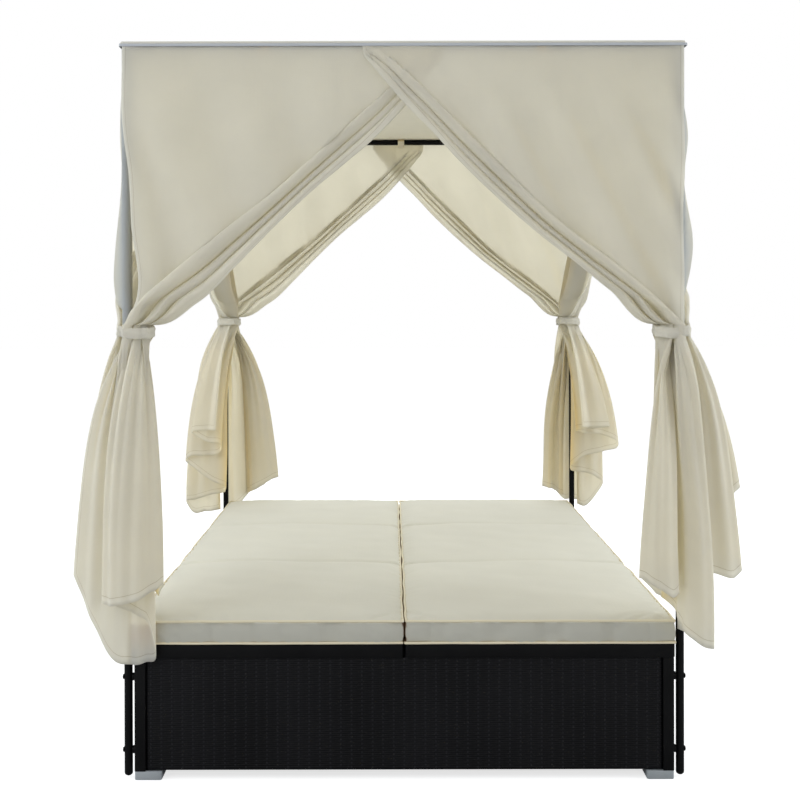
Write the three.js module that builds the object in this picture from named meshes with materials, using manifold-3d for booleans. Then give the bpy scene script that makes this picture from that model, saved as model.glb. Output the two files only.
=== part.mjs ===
import * as THREE from "three";
import { mergeVertices } from "three/addons/utils/BufferGeometryUtils.js";
import Module from "manifold-3d";

// Outdoor daybed with canopy: two loungers side by side on one woven base, each with a
// backrest that reclines on a prop stand, under four posts with a fabric roof and curtains
// tied back to the posts.
// Millimetres, Z up, the front towards -Y, centred on the ground.

const wasm = await Module();
wasm.setup();

// Base: feet, corner legs and woven panels
const baseWidth = 1400;
const baseLength = 2000;
const footHeight = 22;
const footSide = 70;
const footCorner = 6;
const panelHeight = 295;
const panelThickness = 16;
const panelRecess = 2;
const panelLift = 2;
const legSide = 28;
const legWall = 2;

// Cross frame inside the base
const beamWidth = 40;
const beamHeight = 60;
const crossWidth = 26;
const crossHeight = 26;
const seatCrossShares = [0.25, 0.655];

// Seat frames and their woven decks
const frameHeight = 34;
const frameWidth = 30;
const frameCorner = 10;
const frameOverhang = 3;
const frameSplit = 3;
const barWidth = 24;
const barHeight = 20;
const seatBarShares = [0.2, 0.45, 0.7];
const deckThickness = 8;
const deckEdge = 1;

// Backrests, hinge rods and prop stands
const backrestLength = 620;
const hingeRise = 13;
const hingeRod = 10;
const hingeNose = 12;
const hingeBite = 12;
const backSideGap = 6;
const backEndGap = 5;
const backFrameWidth = 26;
const backBarShare = 0.34;
const seatDeckSetback = 20;
const propRod = 12;
const propReach = 260;
const propFootClear = 23;
const propHalfWidth = 180;
const propFootHalf = 205;
const propBite = 14;
const propPivot = 10;
const footDrop = 22;
const footSkim = 1;

// Racks that the prop feet rest on
const rackWidth = 30;
const rackHeight = 18;
const rackFirstGap = 20;
const rackNotch = 8;
const rackNotchWidth = 16;
const rackNotches = 5;
const rackWeld = 1;

// Posts, rails and their fixings
const postDiameter = 22;
const postWall = 1.5;
const postPlugHeight = 8;
const postLift = 6;
const postStandOff = 8;
const postSetback = 20;
const railHeight = 1904;
const railWall = 1.5;
const spigotLength = 45;
const upperFixing = 264;
const lowerFixing = 74;
const spacerDiameter = 21;
const boltDiameter = 8;
const boltHead = 15;
const boltDome = 4;
const boltBite = 14;

// Roof cloth
const roofCloth = 2;
const roofSag = 22;
const roofHem = 13;

// Curtains: two panels on every side, tied back to the posts
const clothThickness = 2;
const postSideEdge = -9;
const frontLap = 106;
const sideLap = 60;
const lapLift = 20;
const lapStartShare = 0.35;
const lapRiseShare = 0.12;
const curtainDrop = 743;
const curtainTop = 4;
const ridgeShare = 0.95;
const hemSag = 150;
const bandPleat = 30;
const tiePleat = 13;
const tieBundle = 60;
const pleats = 3;
const frontTail = 866;
const backTail = 790;
const tailInnerShare = 0.83;
const tailOuterShare = 0.88;
const tailMiddleShare = 0.3;
const tailFlare = 240;
const tailPleat = 62;
const tailStandOff = 34;
const frontTailOut = -112;
const frontTailIn = 104;
const sideTailIn = 150;
const sideTailPleat = 112;

// Tie bands
const tieHeight = 28;
const tieThickness = 3;
const tieRadius = 6;
const tieClear = 0.4;
const waistMargin = 5;

// Cushions
const cushionHeight = 70;
const cushionOverhang = 1;
const cushionFrontOverhang = 4;
const cushionRearGap = 14;
const cushionSplit = 3;
const cushionEdgeDrop = 9;
const cushionSideBulge = 5;
const cushionCornerPull = 6;
const cushionEdge = 120;
const creaseShare = 0.514;
const creaseDepth = 13;
const creaseHalf = 22;
const creasePull = 4;
const foldHalf = 50;
const crownPower = 4;

// Clearances and mesh fineness
const gap = 0.3;
const holeClear = 0.6;
const mergeWithin = 1e-4;
const roundSides = 12;
const smallSides = 8;
const cornerSteps = 3;
const acrossSteps = 12;
const upperSteps = 9;
const tailSteps = 6;
const pathSteps = 24;
const pathWeight = 1.6;
const roofStepsX = 6;
const roofStepsY = 8;

// Colours
const black = 0x1b1b1d;
const wicker = 0x17171a;
const cream = 0xdcd8c8;
const creamShade = 0xd2cdbb;
const silver = 0xb9bcc0;

// Places derived from the sizes above
const halfWidth = baseWidth / 2;
const halfLength = baseLength / 2;
const baseTop = footHeight + panelHeight;
const frameTop = baseTop + frameHeight;
const postX = halfWidth + postStandOff + postDiameter / 2;
const postY = halfLength - postSetback;
const postRadius = postDiameter / 2;
const hangOffset = postRadius + clothThickness / 2 + gap;
const lapTop = clothThickness + gap + gap;
const roofHemGap = lapTop + clothThickness / 2 + gap + gap + roofCloth;
const hingeY = halfLength - backrestLength;
const hingeZ = baseTop + hingeRise;
const loungerX = halfWidth / 2;
const loungerHalf = halfWidth / 2;
const openingHalf = loungerHalf - frameWidth - frameSplit / 2;
const backHalf = openingHalf - backSideGap;
const backRear = halfLength - frameWidth - backEndGap;
const deckBottom = frameTop - deckThickness;
const tieZ = railHeight - curtainDrop;
const waist = tieHeight / 2 + waistMargin;
const gatherDrop = curtainDrop - waist;
const propPivotY = hingeY + propReach;
const propFootY = backRear - backFrameWidth - propFootClear - propRod / 2;
const backBottom = baseTop + gap;
const rackTop = hingeZ - footDrop - propRod / 2 - footSkim;
const rackRear = halfLength - legSide - crossWidth;
const rackFront = propPivotY - rackFirstGap;
const cushionFront = -halfLength - cushionFrontOverhang;
const cushionRear = halfLength - cushionRearGap;
const creases = [mix(cushionFront, hingeY, creaseShare), hingeY];

const group = new THREE.Group();
group.name = "outdoor_daybed_with_canopy";

function add(name, geometry, colour) {
  const material = new THREE.MeshStandardMaterial({ color: colour });
  material.name = name + "_finish";
  const mesh = new THREE.Mesh(geometry, material);
  mesh.name = name;
  group.add(mesh);
}

// Solid helpers

function solid(geometry) {
  const g = geometry.clone();
  g.deleteAttribute("normal");
  g.deleteAttribute("uv");
  const merged = mergeVertices(g, mergeWithin);
  return new wasm.Manifold(
    new wasm.Mesh({
      numProp: 3,
      vertProperties: merged.attributes.position.array,
      triVerts: new Uint32Array(merged.index.array),
    }),
  );
}

function geometryOf(manifold) {
  const m = manifold.getMesh();
  const g = new THREE.BufferGeometry();
  g.setAttribute("position", new THREE.BufferAttribute(new Float32Array(m.vertProperties), 3));
  g.setIndex(new THREE.BufferAttribute(new Uint32Array(m.triVerts), 1));
  return g;
}

function join(pieces) {
  return geometryOf(wasm.Manifold.union(pieces.map(solid)));
}

function cut(body, tools) {
  return geometryOf(solid(body).subtract(wasm.Manifold.union(tools.map(solid))));
}

function block(x0, x1, y0, y1, z0, z1) {
  const g = new THREE.BoxGeometry(x1 - x0, y1 - y0, z1 - z0);
  return g.translate((x0 + x1) / 2, (y0 + y1) / 2, (z0 + z1) / 2);
}

function rod(a, b, diameter, sides) {
  const from = new THREE.Vector3(...a);
  const to = new THREE.Vector3(...b);
  const along = to.clone().sub(from);
  const g = new THREE.CylinderGeometry(diameter / 2, diameter / 2, along.length(), sides);
  const up = new THREE.Vector3(0, 1, 0);
  g.applyQuaternion(new THREE.Quaternion().setFromUnitVectors(up, along.normalize()));
  const middle = from.add(to).multiplyScalar(1 / 2);
  return g.translate(middle.x, middle.y, middle.z);
}

function roundedOutline(x0, x1, y0, y1, radius) {
  const points = [];
  const corners = [
    [x1 - radius, y0 + radius, -Math.PI / 2],
    [x1 - radius, y1 - radius, 0],
    [x0 + radius, y1 - radius, Math.PI / 2],
    [x0 + radius, y0 + radius, Math.PI],
  ];
  for (const [cx, cy, start] of corners) {
    for (let i = 0; i <= cornerSteps; i++) {
      const a = start + (Math.PI / 2) * (i / cornerSteps);
      points.push(new THREE.Vector2(cx + radius * Math.cos(a), cy + radius * Math.sin(a)));
    }
  }
  return points;
}

function squareOutline(x0, x1, y0, y1) {
  return [[x0, y0], [x1, y0], [x1, y1], [x0, y1]].map(([x, y]) => new THREE.Vector2(x, y));
}

function plate(outline, holes, z0, z1) {
  const shape = new THREE.Shape(outline);
  for (const h of holes) shape.holes.push(new THREE.Path(h));
  const g = new THREE.ExtrudeGeometry(shape, { depth: z1 - z0, bevelEnabled: false });
  return g.translate(0, 0, z0);
}

function smooth(low, high, x) {
  const t = Math.min(1, Math.max(0, (x - low) / (high - low)));
  return t * t * (1 - t + (1 - t) + 1);
}

function mix(a, b, t) {
  return a + (b - a) * t;
}

// A closed body from two matching grids of points, the outer and the inner side of a skin.
function skin(front, back) {
  const rows = front.length;
  const columns = front[0].length;
  const positions = [];
  for (const grid of [front, back])
    for (const row of grid) for (const p of row) positions.push(p.x, p.y, p.z);
  const at = (side, i, j) => side * rows * columns + i * columns + j;
  const faces = [];
  const quad = (a, b, c, d) => faces.push(a, b, c, a, c, d);
  for (let i = 0; i + 1 < rows; i++) {
    for (let j = 0; j + 1 < columns; j++) {
      quad(at(0, i, j), at(0, i, j + 1), at(0, i + 1, j + 1), at(0, i + 1, j));
      quad(at(1, i, j), at(1, i + 1, j), at(1, i + 1, j + 1), at(1, i, j + 1));
    }
    quad(at(0, i, 0), at(0, i + 1, 0), at(1, i + 1, 0), at(1, i, 0));
    const e = columns - 1;
    quad(at(0, i, e), at(1, i, e), at(1, i + 1, e), at(0, i + 1, e));
  }
  for (let j = 0; j + 1 < columns; j++) {
    const e = rows - 1;
    quad(at(0, 0, j), at(1, 0, j), at(1, 0, j + 1), at(0, 0, j + 1));
    quad(at(0, e, j), at(0, e, j + 1), at(1, e, j + 1), at(1, e, j));
  }
  return closed(positions, faces);
}

function closed(positions, faces) {
  let volume = 0;
  const p = (i) => new THREE.Vector3(...positions.slice(i + i + i, i + i + i + 3));
  for (let i = 0; i < faces.length; i += 3)
    volume += p(faces[i]).dot(p(faces[i + 1]).cross(p(faces[i + 2])));
  if (volume < 0)
    for (let i = 0; i < faces.length; i += 3)
      [faces[i + 1], faces[i + 2]] = [faces[i + 2], faces[i + 1]];
  const g = new THREE.BufferGeometry();
  g.setAttribute("position", new THREE.Float32BufferAttribute(positions, 3));
  g.setIndex(faces);
  return g;
}

// Gives a grid of points a thickness, half of it on each side.
function thicken(grid, thickness) {
  const side = (sign) =>
    grid.map((row, i) =>
      row.map((p, j) => {
        const below = grid[Math.min(i + 1, grid.length - 1)][j];
        const above = grid[Math.max(i - 1, 0)][j];
        const right = row[Math.min(j + 1, row.length - 1)];
        const left = row[Math.max(j - 1, 0)];
        const normal = below.clone().sub(above).cross(right.clone().sub(left)).normalize();
        return p.clone().addScaledVector(normal, (sign * thickness) / 2);
      }),
    );
  return skin(side(1), side(-1));
}

// Base

function buildBase() {
  const inner = halfWidth - legSide - gap;
  const innerY = halfLength - legSide - gap;
  const z0 = footHeight + panelLift;
  const z1 = baseTop - gap;
  for (const [side, name] of [[-1, "front"], [1, "back"]]) {
    const y = side * (halfLength - panelRecess);
    const y2 = side * (halfLength - panelRecess - panelThickness);
    const g = block(-inner, inner, Math.min(y, y2), Math.max(y, y2), z0, z1);
    add("panel_" + name, g, wicker);
  }
  for (const [side, name] of [[-1, "left"], [1, "right"]]) {
    const x = side * (halfWidth - panelRecess);
    const x2 = side * (halfWidth - panelRecess - panelThickness);
    const g = block(Math.min(x, x2), Math.max(x, x2), -innerY, innerY, z0, z1);
    add("panel_" + name, g, wicker);
  }
}

const corners = [
  { sx: -1, sy: -1, name: "front_left" },
  { sx: 1, sy: -1, name: "front_right" },
  { sx: -1, sy: 1, name: "back_left" },
  { sx: 1, sy: 1, name: "back_right" },
];

function cornerBlock(corner, side, z0, z1, inset) {
  const x = [corner.sx * (halfWidth - inset), corner.sx * (halfWidth - side + inset)];
  const y = [corner.sy * (halfLength - inset), corner.sy * (halfLength - side + inset)];
  return block(Math.min(...x), Math.max(...x), Math.min(...y), Math.max(...y), z0, z1);
}

function buildLegs() {
  for (const corner of corners) {
    const outer = cornerBlock(corner, legSide, footHeight + gap, baseTop - gap, 0);
    const bore = cornerBlock(corner, legSide, footHeight, baseTop, legWall);
    const holes = [upperFixing, lowerFixing].map((z) =>
      rod(
        [corner.sx * (halfWidth + gap), corner.sy * postY, z],
        [corner.sx * (halfWidth - legSide / 2), corner.sy * postY, z],
        boltDiameter + holeClear + holeClear,
        smallSides,
      ),
    );
    add("corner_leg_" + corner.name, cut(outer, [bore, ...holes]), black);
  }
}

function buildFeet() {
  for (const corner of corners) {
    const x = [corner.sx * halfWidth, corner.sx * (halfWidth - footSide)];
    const y = [corner.sy * halfLength, corner.sy * (halfLength - footSide)];
    const outline = roundedOutline(
      Math.min(...x),
      Math.max(...x),
      Math.min(...y),
      Math.max(...y),
      footCorner,
    );
    add("foot_" + corner.name, plate(outline, [], 0, footHeight), silver);
  }
}

// The welded cross frame inside the base carries the seat frames. The two notched racks that the
// prop feet rest on are welded across its rear bay.
function buildCrossFrame() {
  const endY = halfLength - panelRecess - panelThickness - gap;
  const endX = halfWidth - panelRecess - panelThickness - gap;
  const innerX = halfWidth - legSide - gap;
  const top = baseTop - gap;
  const pieces = [block(-beamWidth / 2, beamWidth / 2, -endY, endY, top - beamHeight, top)];
  for (const share of seatCrossShares) {
    const y = mix(-halfLength, halfLength, share);
    pieces.push(block(-endX, endX, y - crossWidth / 2, y + crossWidth / 2, top - crossHeight, top));
  }
  const low = rackTop - rackHeight + rackWeld;
  pieces.push(block(-endX, endX, rackFront, rackFront + crossWidth, low - crossHeight, low));
  pieces.push(block(-innerX, innerX, rackRear, rackRear + crossWidth, top - beamHeight, top));
  pieces.push(rack(-loungerX), rack(loungerX));
  add("base_cross_frame", join(pieces), black);
}

function rack(middleX) {
  const x0 = middleX - rackWidth / 2;
  const x1 = middleX + rackWidth / 2;
  const bar = block(x0, x1, rackFront, rackRear + rackWeld, rackTop - rackHeight, rackTop);
  const first = rackFront + crossWidth + rackNotchWidth;
  const last = propFootY - rackNotchWidth;
  const tools = [];
  for (let i = 0; i < rackNotches; i++) {
    const y = mix(first, last, i / rackNotches);
    const z = rackTop - rackNotch;
    tools.push(block(x0 - gap, x1 + gap, y, y + rackNotchWidth, z, rackTop + gap));
  }
  return cut(bar, tools);
}

// Seat frames

function frameX(side) {
  const inner = frameSplit / 2;
  const outer = halfWidth + frameOverhang;
  return side < 0 ? [-outer, -inner] : [inner, outer];
}

function openingX(side) {
  return [side * loungerX - openingHalf, side * loungerX + openingHalf];
}

function buildSeatFrame(side, name) {
  const [x0, x1] = frameX(side);
  const [o0, o1] = openingX(side);
  const end = halfLength + frameOverhang;
  const openEnd = halfLength - frameWidth;
  const outline = roundedOutline(x0, x1, -end, end, frameCorner);
  const hole = squareOutline(o0, o1, -openEnd, openEnd).reverse();
  const pieces = [plate(outline, [hole], baseTop, frameTop)];
  const seatRear = hingeY - seatDeckSetback;
  const barTop = deckBottom - gap;
  const places = seatBarShares.map((share) => mix(-halfLength, hingeY, share));
  places.push(-openEnd + barWidth / 2, seatRear - barWidth / 2);
  for (const y of places) {
    const y0 = y - barWidth / 2;
    const bar = block(o0 - gap, o1 + gap, y0, y0 + barWidth, barTop - barHeight, barTop);
    pieces.push(bar);
  }
  const hole1 = rod(
    [o0 - hingeBite, hingeY, hingeZ],
    [o1 + hingeBite, hingeY, hingeZ],
    hingeRod + holeClear + holeClear,
    smallSides,
  );
  add("seat_frame_" + name, cut(join(pieces), [hole1]), black);
  const deck = block(
    o0 + deckEdge,
    o1 - deckEdge,
    -openEnd + deckEdge,
    seatRear,
    deckBottom,
    frameTop,
  );
  add("seat_deck_" + name, deck, wicker);
}

function buildHingeRod(side, name) {
  const [o0, o1] = openingX(side);
  const reach = hingeBite - gap;
  const g = rod([o0 - reach, hingeY, hingeZ], [o1 + reach, hingeY, hingeZ], hingeRod, smallSides);
  add("hinge_rod_" + name, g, silver);
}

function buildBackrest(side, name) {
  const cx = side * loungerX;
  const x0 = cx - backHalf;
  const x1 = cx + backHalf;
  const z0 = backBottom;
  const z1 = deckBottom - gap;
  const y0 = hingeY - hingeNose;
  const pieces = [
    block(x0, x0 + backFrameWidth, y0, backRear, z0, z1),
    block(x1 - backFrameWidth, x1, y0, backRear, z0, z1),
    block(x0, x1, backRear - backFrameWidth, backRear, z0, z1),
  ];
  for (const y of [hingeY + hingeRod + gap, mix(hingeY, backRear, backBarShare)]) {
    pieces.push(block(x0, x1, y, y + barWidth, z0, z1));
  }
  const holeSize = holeClear + holeClear;
  const bite = backFrameWidth - propBite;
  const tools = [
    rod([x0 - gap, hingeY, hingeZ], [x1 + gap, hingeY, hingeZ], hingeRod + holeSize, smallSides),
    rod([x0 + bite, propPivotY, hingeZ], [x1 - bite, propPivotY, hingeZ], propPivot + holeSize, smallSides),
  ];
  add("backrest_frame_" + name, cut(join(pieces), tools), black);
  const deck = block(x0, x1, hingeY + deckEdge, backRear, deckBottom, frameTop);
  add("backrest_deck_" + name, deck, wicker);
}

function buildPropStand(side, name) {
  const cx = side * loungerX;
  const z = hingeZ;
  const foot = propFootY;
  const pivotHalf = backHalf - backFrameWidth + propBite - gap;
  const pieces = [
    rod([cx - pivotHalf, propPivotY, z], [cx + pivotHalf, propPivotY, z], propPivot, smallSides),
    rod([cx - propFootHalf, foot, z], [cx + propFootHalf, foot, z], propRod, smallSides),
    rod([cx - propHalfWidth, propPivotY, z], [cx - propHalfWidth, foot, z], propRod, smallSides),
    rod([cx + propHalfWidth, propPivotY, z], [cx + propHalfWidth, foot, z], propRod, smallSides),
  ];
  add("prop_stand_" + name, join(pieces), black);
}

// Posts, rails and fixings

function postProfile() {
  const r = postRadius;
  const bottom = postLift;
  const steps = cornerSteps;
  const points = [new THREE.Vector2(0, bottom)];
  for (let i = 1; i <= steps; i++) {
    const a = (Math.PI / 2) * (i / steps);
    points.push(new THREE.Vector2(r * Math.sin(a), bottom + postPlugHeight * (1 - Math.cos(a))));
  }
  points.push(new THREE.Vector2(r, railHeight + r), new THREE.Vector2(0, railHeight + r));
  return points;
}

function buildPosts() {
  for (const corner of corners) {
    const x = corner.sx * postX;
    const y = corner.sy * postY;
    const body = new THREE.LatheGeometry(postProfile(), roundSides);
    body.rotateX(Math.PI / 2);
    body.translate(x, y, 0);
    const spigot = postDiameter - railWall - railWall - holeClear - holeClear;
    const reach = postRadius + spigotLength;
    const bore = rod(
      [x, y, postLift + postPlugHeight],
      [x, y, railHeight - postDiameter],
      postDiameter - postWall - postWall,
      roundSides,
    );
    const holes = [upperFixing, lowerFixing].map((z) =>
      rod([x - postDiameter, y, z], [x + postDiameter, y, z], boltDiameter + holeClear + holeClear, smallSides),
    );
    const tube = cut(body, [bore, ...holes]);
    const post = join([
      tube,
      rod([x, y, railHeight], [x - corner.sx * reach, y, railHeight], spigot, roundSides),
      rod([x, y, railHeight], [x, y - corner.sy * reach, railHeight], spigot, roundSides),
    ]);
    add("post_" + corner.name, post, black);
  }
}

function rail(a, b) {
  const outer = rod(a, b, postDiameter, roundSides);
  const bore = rod(a, b, postDiameter - railWall - railWall, roundSides);
  const along = new THREE.Vector3(...b).sub(new THREE.Vector3(...a));
  const stretch = 1 + postDiameter / along.length();
  const middle = new THREE.Vector3(...a).add(new THREE.Vector3(...b)).multiplyScalar(1 / 2);
  bore.translate(-middle.x, -middle.y, -middle.z);
  bore.scale(stretch, stretch, 1);
  if (along.x) bore.scale(1, 1 / stretch, 1);
  else bore.scale(1 / stretch, 1, 1);
  bore.translate(middle.x, middle.y, middle.z);
  return cut(outer, [bore]);
}

function buildRails() {
  const endX = postX - postRadius - gap;
  const endY = postY - postRadius - gap;
  for (const [side, name] of [[-1, "front"], [1, "back"]]) {
    const y = side * postY;
    add("rail_" + name, rail([-endX, y, railHeight], [endX, y, railHeight]), black);
  }
  for (const [side, name] of [[-1, "left"], [1, "right"]]) {
    const x = side * postX;
    add("rail_" + name, rail([x, -endY, railHeight], [x, endY, railHeight]), black);
  }
}

// Two bolts hold each post, each with a domed head and a spacer against the corner leg.
function buildFixings() {
  for (const corner of corners) {
    for (const [z, level] of [[upperFixing, "upper"], [lowerFixing, "lower"]]) {
      const y = corner.sy * postY;
      const at = (x) => [corner.sx * x, y, z];
      const headIn = postX + postRadius + gap;
      const dome = new THREE.SphereGeometry(1, smallSides, smallSides);
      dome.scale(boltDome, boltHead / 2, boltHead / 2);
      dome.translate(corner.sx * headIn, y, z);
      const keep = [headIn, headIn + boltDome + gap].map((x) => corner.sx * x);
      const half = block(
        Math.min(...keep),
        Math.max(...keep),
        y - boltHead,
        y + boltHead,
        z - boltHead,
        z + boltHead,
      );
      const head = geometryOf(solid(dome).intersect(solid(half)));
      const shaft = rod(at(headIn + boltDome / 2), at(halfWidth - boltBite), boltDiameter, smallSides);
      const spacer = rod(at(postX - postRadius - gap), at(halfWidth + gap), spacerDiameter, roundSides);
      add("post_fixing_" + corner.name + "_" + level, join([head, shaft, spacer]), black);
    }
  }
}

// Roof cloth

function buildRoof() {
  const halfX = postX + hangOffset + roofHemGap;
  const halfY = postY + hangOffset + roofHemGap;
  const top = railHeight + postRadius + gap + roofCloth;
  const shareX = (postX - postRadius) / halfX;
  const shareY = (postY - postRadius) / halfY;
  const places = (steps, share) => {
    const list = [-1];
    for (let i = 0; i <= steps; i++) {
      list.push(share * Math.sin((Math.PI / 2) * mix(-1, 1, i / steps)));
    }
    return [...list, 1];
  };
  const dip = (a, share) => Math.max(0, 1 - (a / share) * (a / share));
  const point = (a, b, level) => {
    const sag = roofSag * dip(a, shareX) * dip(b, shareY);
    return new THREE.Vector3(a * (halfX - level.in), b * (halfY - level.in), top - level.down - sag);
  };
  const above = { in: 0, down: 0 };
  const under = { in: roofCloth, down: roofCloth };
  const hem = [
    { in: 0, down: roofHem },
    { in: roofCloth, down: roofHem },
  ];
  const xs = places(roofStepsX, shareX);
  const ys = places(roofStepsY, shareY);
  add("roof_cloth", shell(xs, ys, point, above, under, hem), cream);
}

// Curtains. A panel is described by h along the rail from its post, n outwards and z from the rail.

function threadPath(c, u) {
  const h0 = mix(postSideEdge, c.reach, u);
  const ridge = -gatherDrop * Math.max(0, 1 - Math.max(0, h0) / (c.reach * ridgeShare));
  const knee = { h: h0, z: Math.max(ridge - hemSag * u, -gatherDrop) };
  const start = { h: h0, z: curtainTop };
  const end = { h: mix(postSideEdge, tieBundle, u), z: -gatherDrop };
  const points = [];
  for (let i = 0; i <= pathSteps; i++) {
    const t = i / pathSteps;
    const a = (1 - t) * (1 - t);
    const b = (pathWeight + pathWeight) * t * (1 - t);
    const d = t * t;
    const w = a + b + d;
    points.push({
      h: (a * start.h + b * knee.h + d * end.h) / w,
      z: (a * start.z + b * knee.z + d * end.z) / w,
    });
  }
  const fall = start.z - knee.z;
  const run = Math.hypot(knee.h - end.h, knee.z - end.z);
  return { points, kneeShare: fall / (fall + run) };
}

function along(points, share) {
  const lengths = [0];
  for (let i = 1; i < points.length; i++) {
    const step = Math.hypot(points[i].h - points[i - 1].h, points[i].z - points[i - 1].z);
    lengths.push(lengths[i - 1] + step);
  }
  const wanted = share * lengths[lengths.length - 1];
  let i = 1;
  while (i < points.length - 1 && lengths[i] < wanted) i++;
  const t = (wanted - lengths[i - 1]) / Math.max(mergeWithin, lengths[i] - lengths[i - 1]);
  return {
    h: mix(points[i - 1].h, points[i].h, t),
    z: mix(points[i - 1].z, points[i].z, t),
  };
}

// How far a pleat stands out at this place across the cloth, from 0 to 1.
function pleatWave(u) {
  return (1 - Math.cos((Math.PI + Math.PI) * pleats * (1 - u))) / 2;
}

const pleatStartShare = 0.6;
const pleatRiseShare = 0.5;
const tieSqueezeShare = 0.75;

function upperPoint(c, u, v) {
  const path = threadPath(c, u);
  const p = along(path.points, v);
  const low = path.kneeShare * pleatStartShare;
  const rise = smooth(low, low + pleatRiseShare, v);
  const depth = mix(bandPleat * rise, tiePleat, smooth(tieSqueezeShare, 1, v));
  const lift = mix(lapTop, lapLift, smooth(0, lapRiseShare, v));
  const lap = c.over * lift * smooth(lapStartShare, ridgeShare * ridgeShare, p.h / c.reach);
  return { h: p.h, n: hangOffset + lap + depth * pleatWave(u), z: p.z };
}

function tailPoint(c, u, step) {
  const top = upperPoint(c, u, 1);
  const edge = u < tailMiddleShare ? tailOuterShare : tailInnerShare;
  const far = u < tailMiddleShare ? u / tailMiddleShare : (1 - u) / (1 - tailMiddleShare);
  const length = c.tail * mix(edge, 1, smooth(0, 1, far));
  const down = mix(waist + waist, length, (step - 1) / (tailSteps - 1));
  const flare = 1 - Math.exp(-(down - waist - waist) / tailFlare);
  const h = mix(top.h, mix(c.tailOut, c.tailIn, u), flare);
  const n = mix(top.n, tailStandOff + c.tailPleat * pleatWave(u), flare);
  return { h, n, z: top.z - down };
}

function curtainGrid(c) {
  const grid = [];
  for (let i = 0; i <= upperSteps + tailSteps; i++) {
    const row = [];
    for (let j = 0; j <= acrossSteps; j++) {
      const u = j / acrossSteps;
      const upper = i <= upperSteps;
      row.push(upper ? upperPoint(c, u, i / upperSteps) : tailPoint(c, u, i - upperSteps));
    }
    grid.push(row);
  }
  return grid;
}

function placed(grid, corner, alongX) {
  return grid.map((row) =>
    row.map((p) => {
      const x = alongX ? postX - p.h : postX + p.n;
      const y = alongX ? postY + p.n : postY - p.h;
      return new THREE.Vector3(corner.sx * x, corner.sy * y, railHeight + p.z);
    }),
  );
}

function buildCurtains() {
  for (const corner of corners) {
    const tail = corner.sy < 0 ? frontTail : backTail;
    const crosswise = {
      reach: postX + frontLap,
      over: corner.sx > 0 ? 1 : 0,
      tail,
      tailOut: frontTailOut,
      tailIn: frontTailIn,
      tailPleat,
    };
    const lengthwise = {
      reach: postY + sideLap,
      over: corner.sy < 0 ? 1 : 0,
      tail,
      tailOut: postSideEdge,
      tailIn: sideTailIn,
      tailPleat: sideTailPleat,
    };
    const end = thicken(placed(curtainGrid(crosswise), corner, true), clothThickness);
    add("curtain_" + corner.name + "_end", end, cream);
    const side = thicken(placed(curtainGrid(lengthwise), corner, false), clothThickness);
    add("curtain_" + corner.name + "_side", side, cream);
  }
}

// The tie band goes round the post and the two gathered curtains.

function strapOutline(points, radius) {
  const count = points.length;
  const outline = [];
  points.forEach((p, i) => {
    const before = points[(i + count - 1) % count];
    const after = points[(i + 1) % count];
    const a0 = Math.atan2(p.y - before.y, p.x - before.x) - Math.PI / 2;
    let turn = Math.atan2(after.y - p.y, after.x - p.x) - Math.PI / 2 - a0;
    if (turn < 0) turn += Math.PI + Math.PI;
    for (let k = 0; k <= cornerSteps; k++) {
      const a = a0 + turn * (k / cornerSteps);
      outline.push(new THREE.Vector2(p.x + radius * Math.cos(a), p.y + radius * Math.sin(a)));
    }
  });
  return outline;
}

function buildTies() {
  const out = hangOffset + tiePleat + clothThickness / 2 + tieClear - tieRadius;
  const inside = tieBundle + clothThickness / 2 + tieClear - tieRadius;
  const near = postSideEdge + clothThickness;
  for (const corner of corners) {
    const local = [
      new THREE.Vector2(-out, -out),
      new THREE.Vector2(inside, -out),
      new THREE.Vector2(inside, near),
      new THREE.Vector2(near, inside),
      new THREE.Vector2(-out, inside),
    ];
    const hole = strapOutline(local, tieRadius).reverse();
    const outline = strapOutline(local, tieRadius + tieThickness);
    const g = plate(outline, [hole], tieZ - tieHeight / 2, tieZ + tieHeight / 2);
    const turned = new THREE.Matrix4().makeScale(-corner.sx, -corner.sy, 1);
    g.applyMatrix4(turned);
    if (corner.sx * corner.sy < 0) flip(g);
    g.translate(corner.sx * postX, corner.sy * postY, 0);
    add("tie_" + corner.name, g, creamShade);
  }
}

function flip(geometry) {
  const p = geometry.attributes.position;
  for (let i = 0; i < p.count; i += 3) {
    const [x, y, z] = [p.getX(i + 1), p.getY(i + 1), p.getZ(i + 1)];
    p.setXYZ(i + 1, p.getX(i + 2), p.getY(i + 2), p.getZ(i + 2));
    p.setXYZ(i + 2, x, y, z);
  }
}

// Cushions. One long cushion lies on each lounger. Its top has a crown, and it has two sewn creases,
// where its sides are drawn in. It is modelled in three sections, because the middle one folds when
// the backrest rises.

const crossPlaces = [-1, -0.86, -0.45, 0, 0.45, 0.86, 1];

// Places along a section: its ends, a step in from each, the middle, and each side of a crease.
function lengthPlaces(y0, y1) {
  const step = Math.min(cushionEdge / 2, (y1 - y0) / 4);
  const inside = creases.filter((y) => y > y0 + creaseHalf && y < y1 - creaseHalf);
  const marks = [y0 + step, ...inside.flatMap((y) => [y - creaseHalf, y, y + creaseHalf]), y1 - step];
  const places = [y0];
  marks.forEach((y, i) => {
    if (i > 0 && y - marks[i - 1] > cushionEdge) places.push((y + marks[i - 1]) / 2);
    places.push(y);
  });
  return [...places, y1];
}

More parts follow.
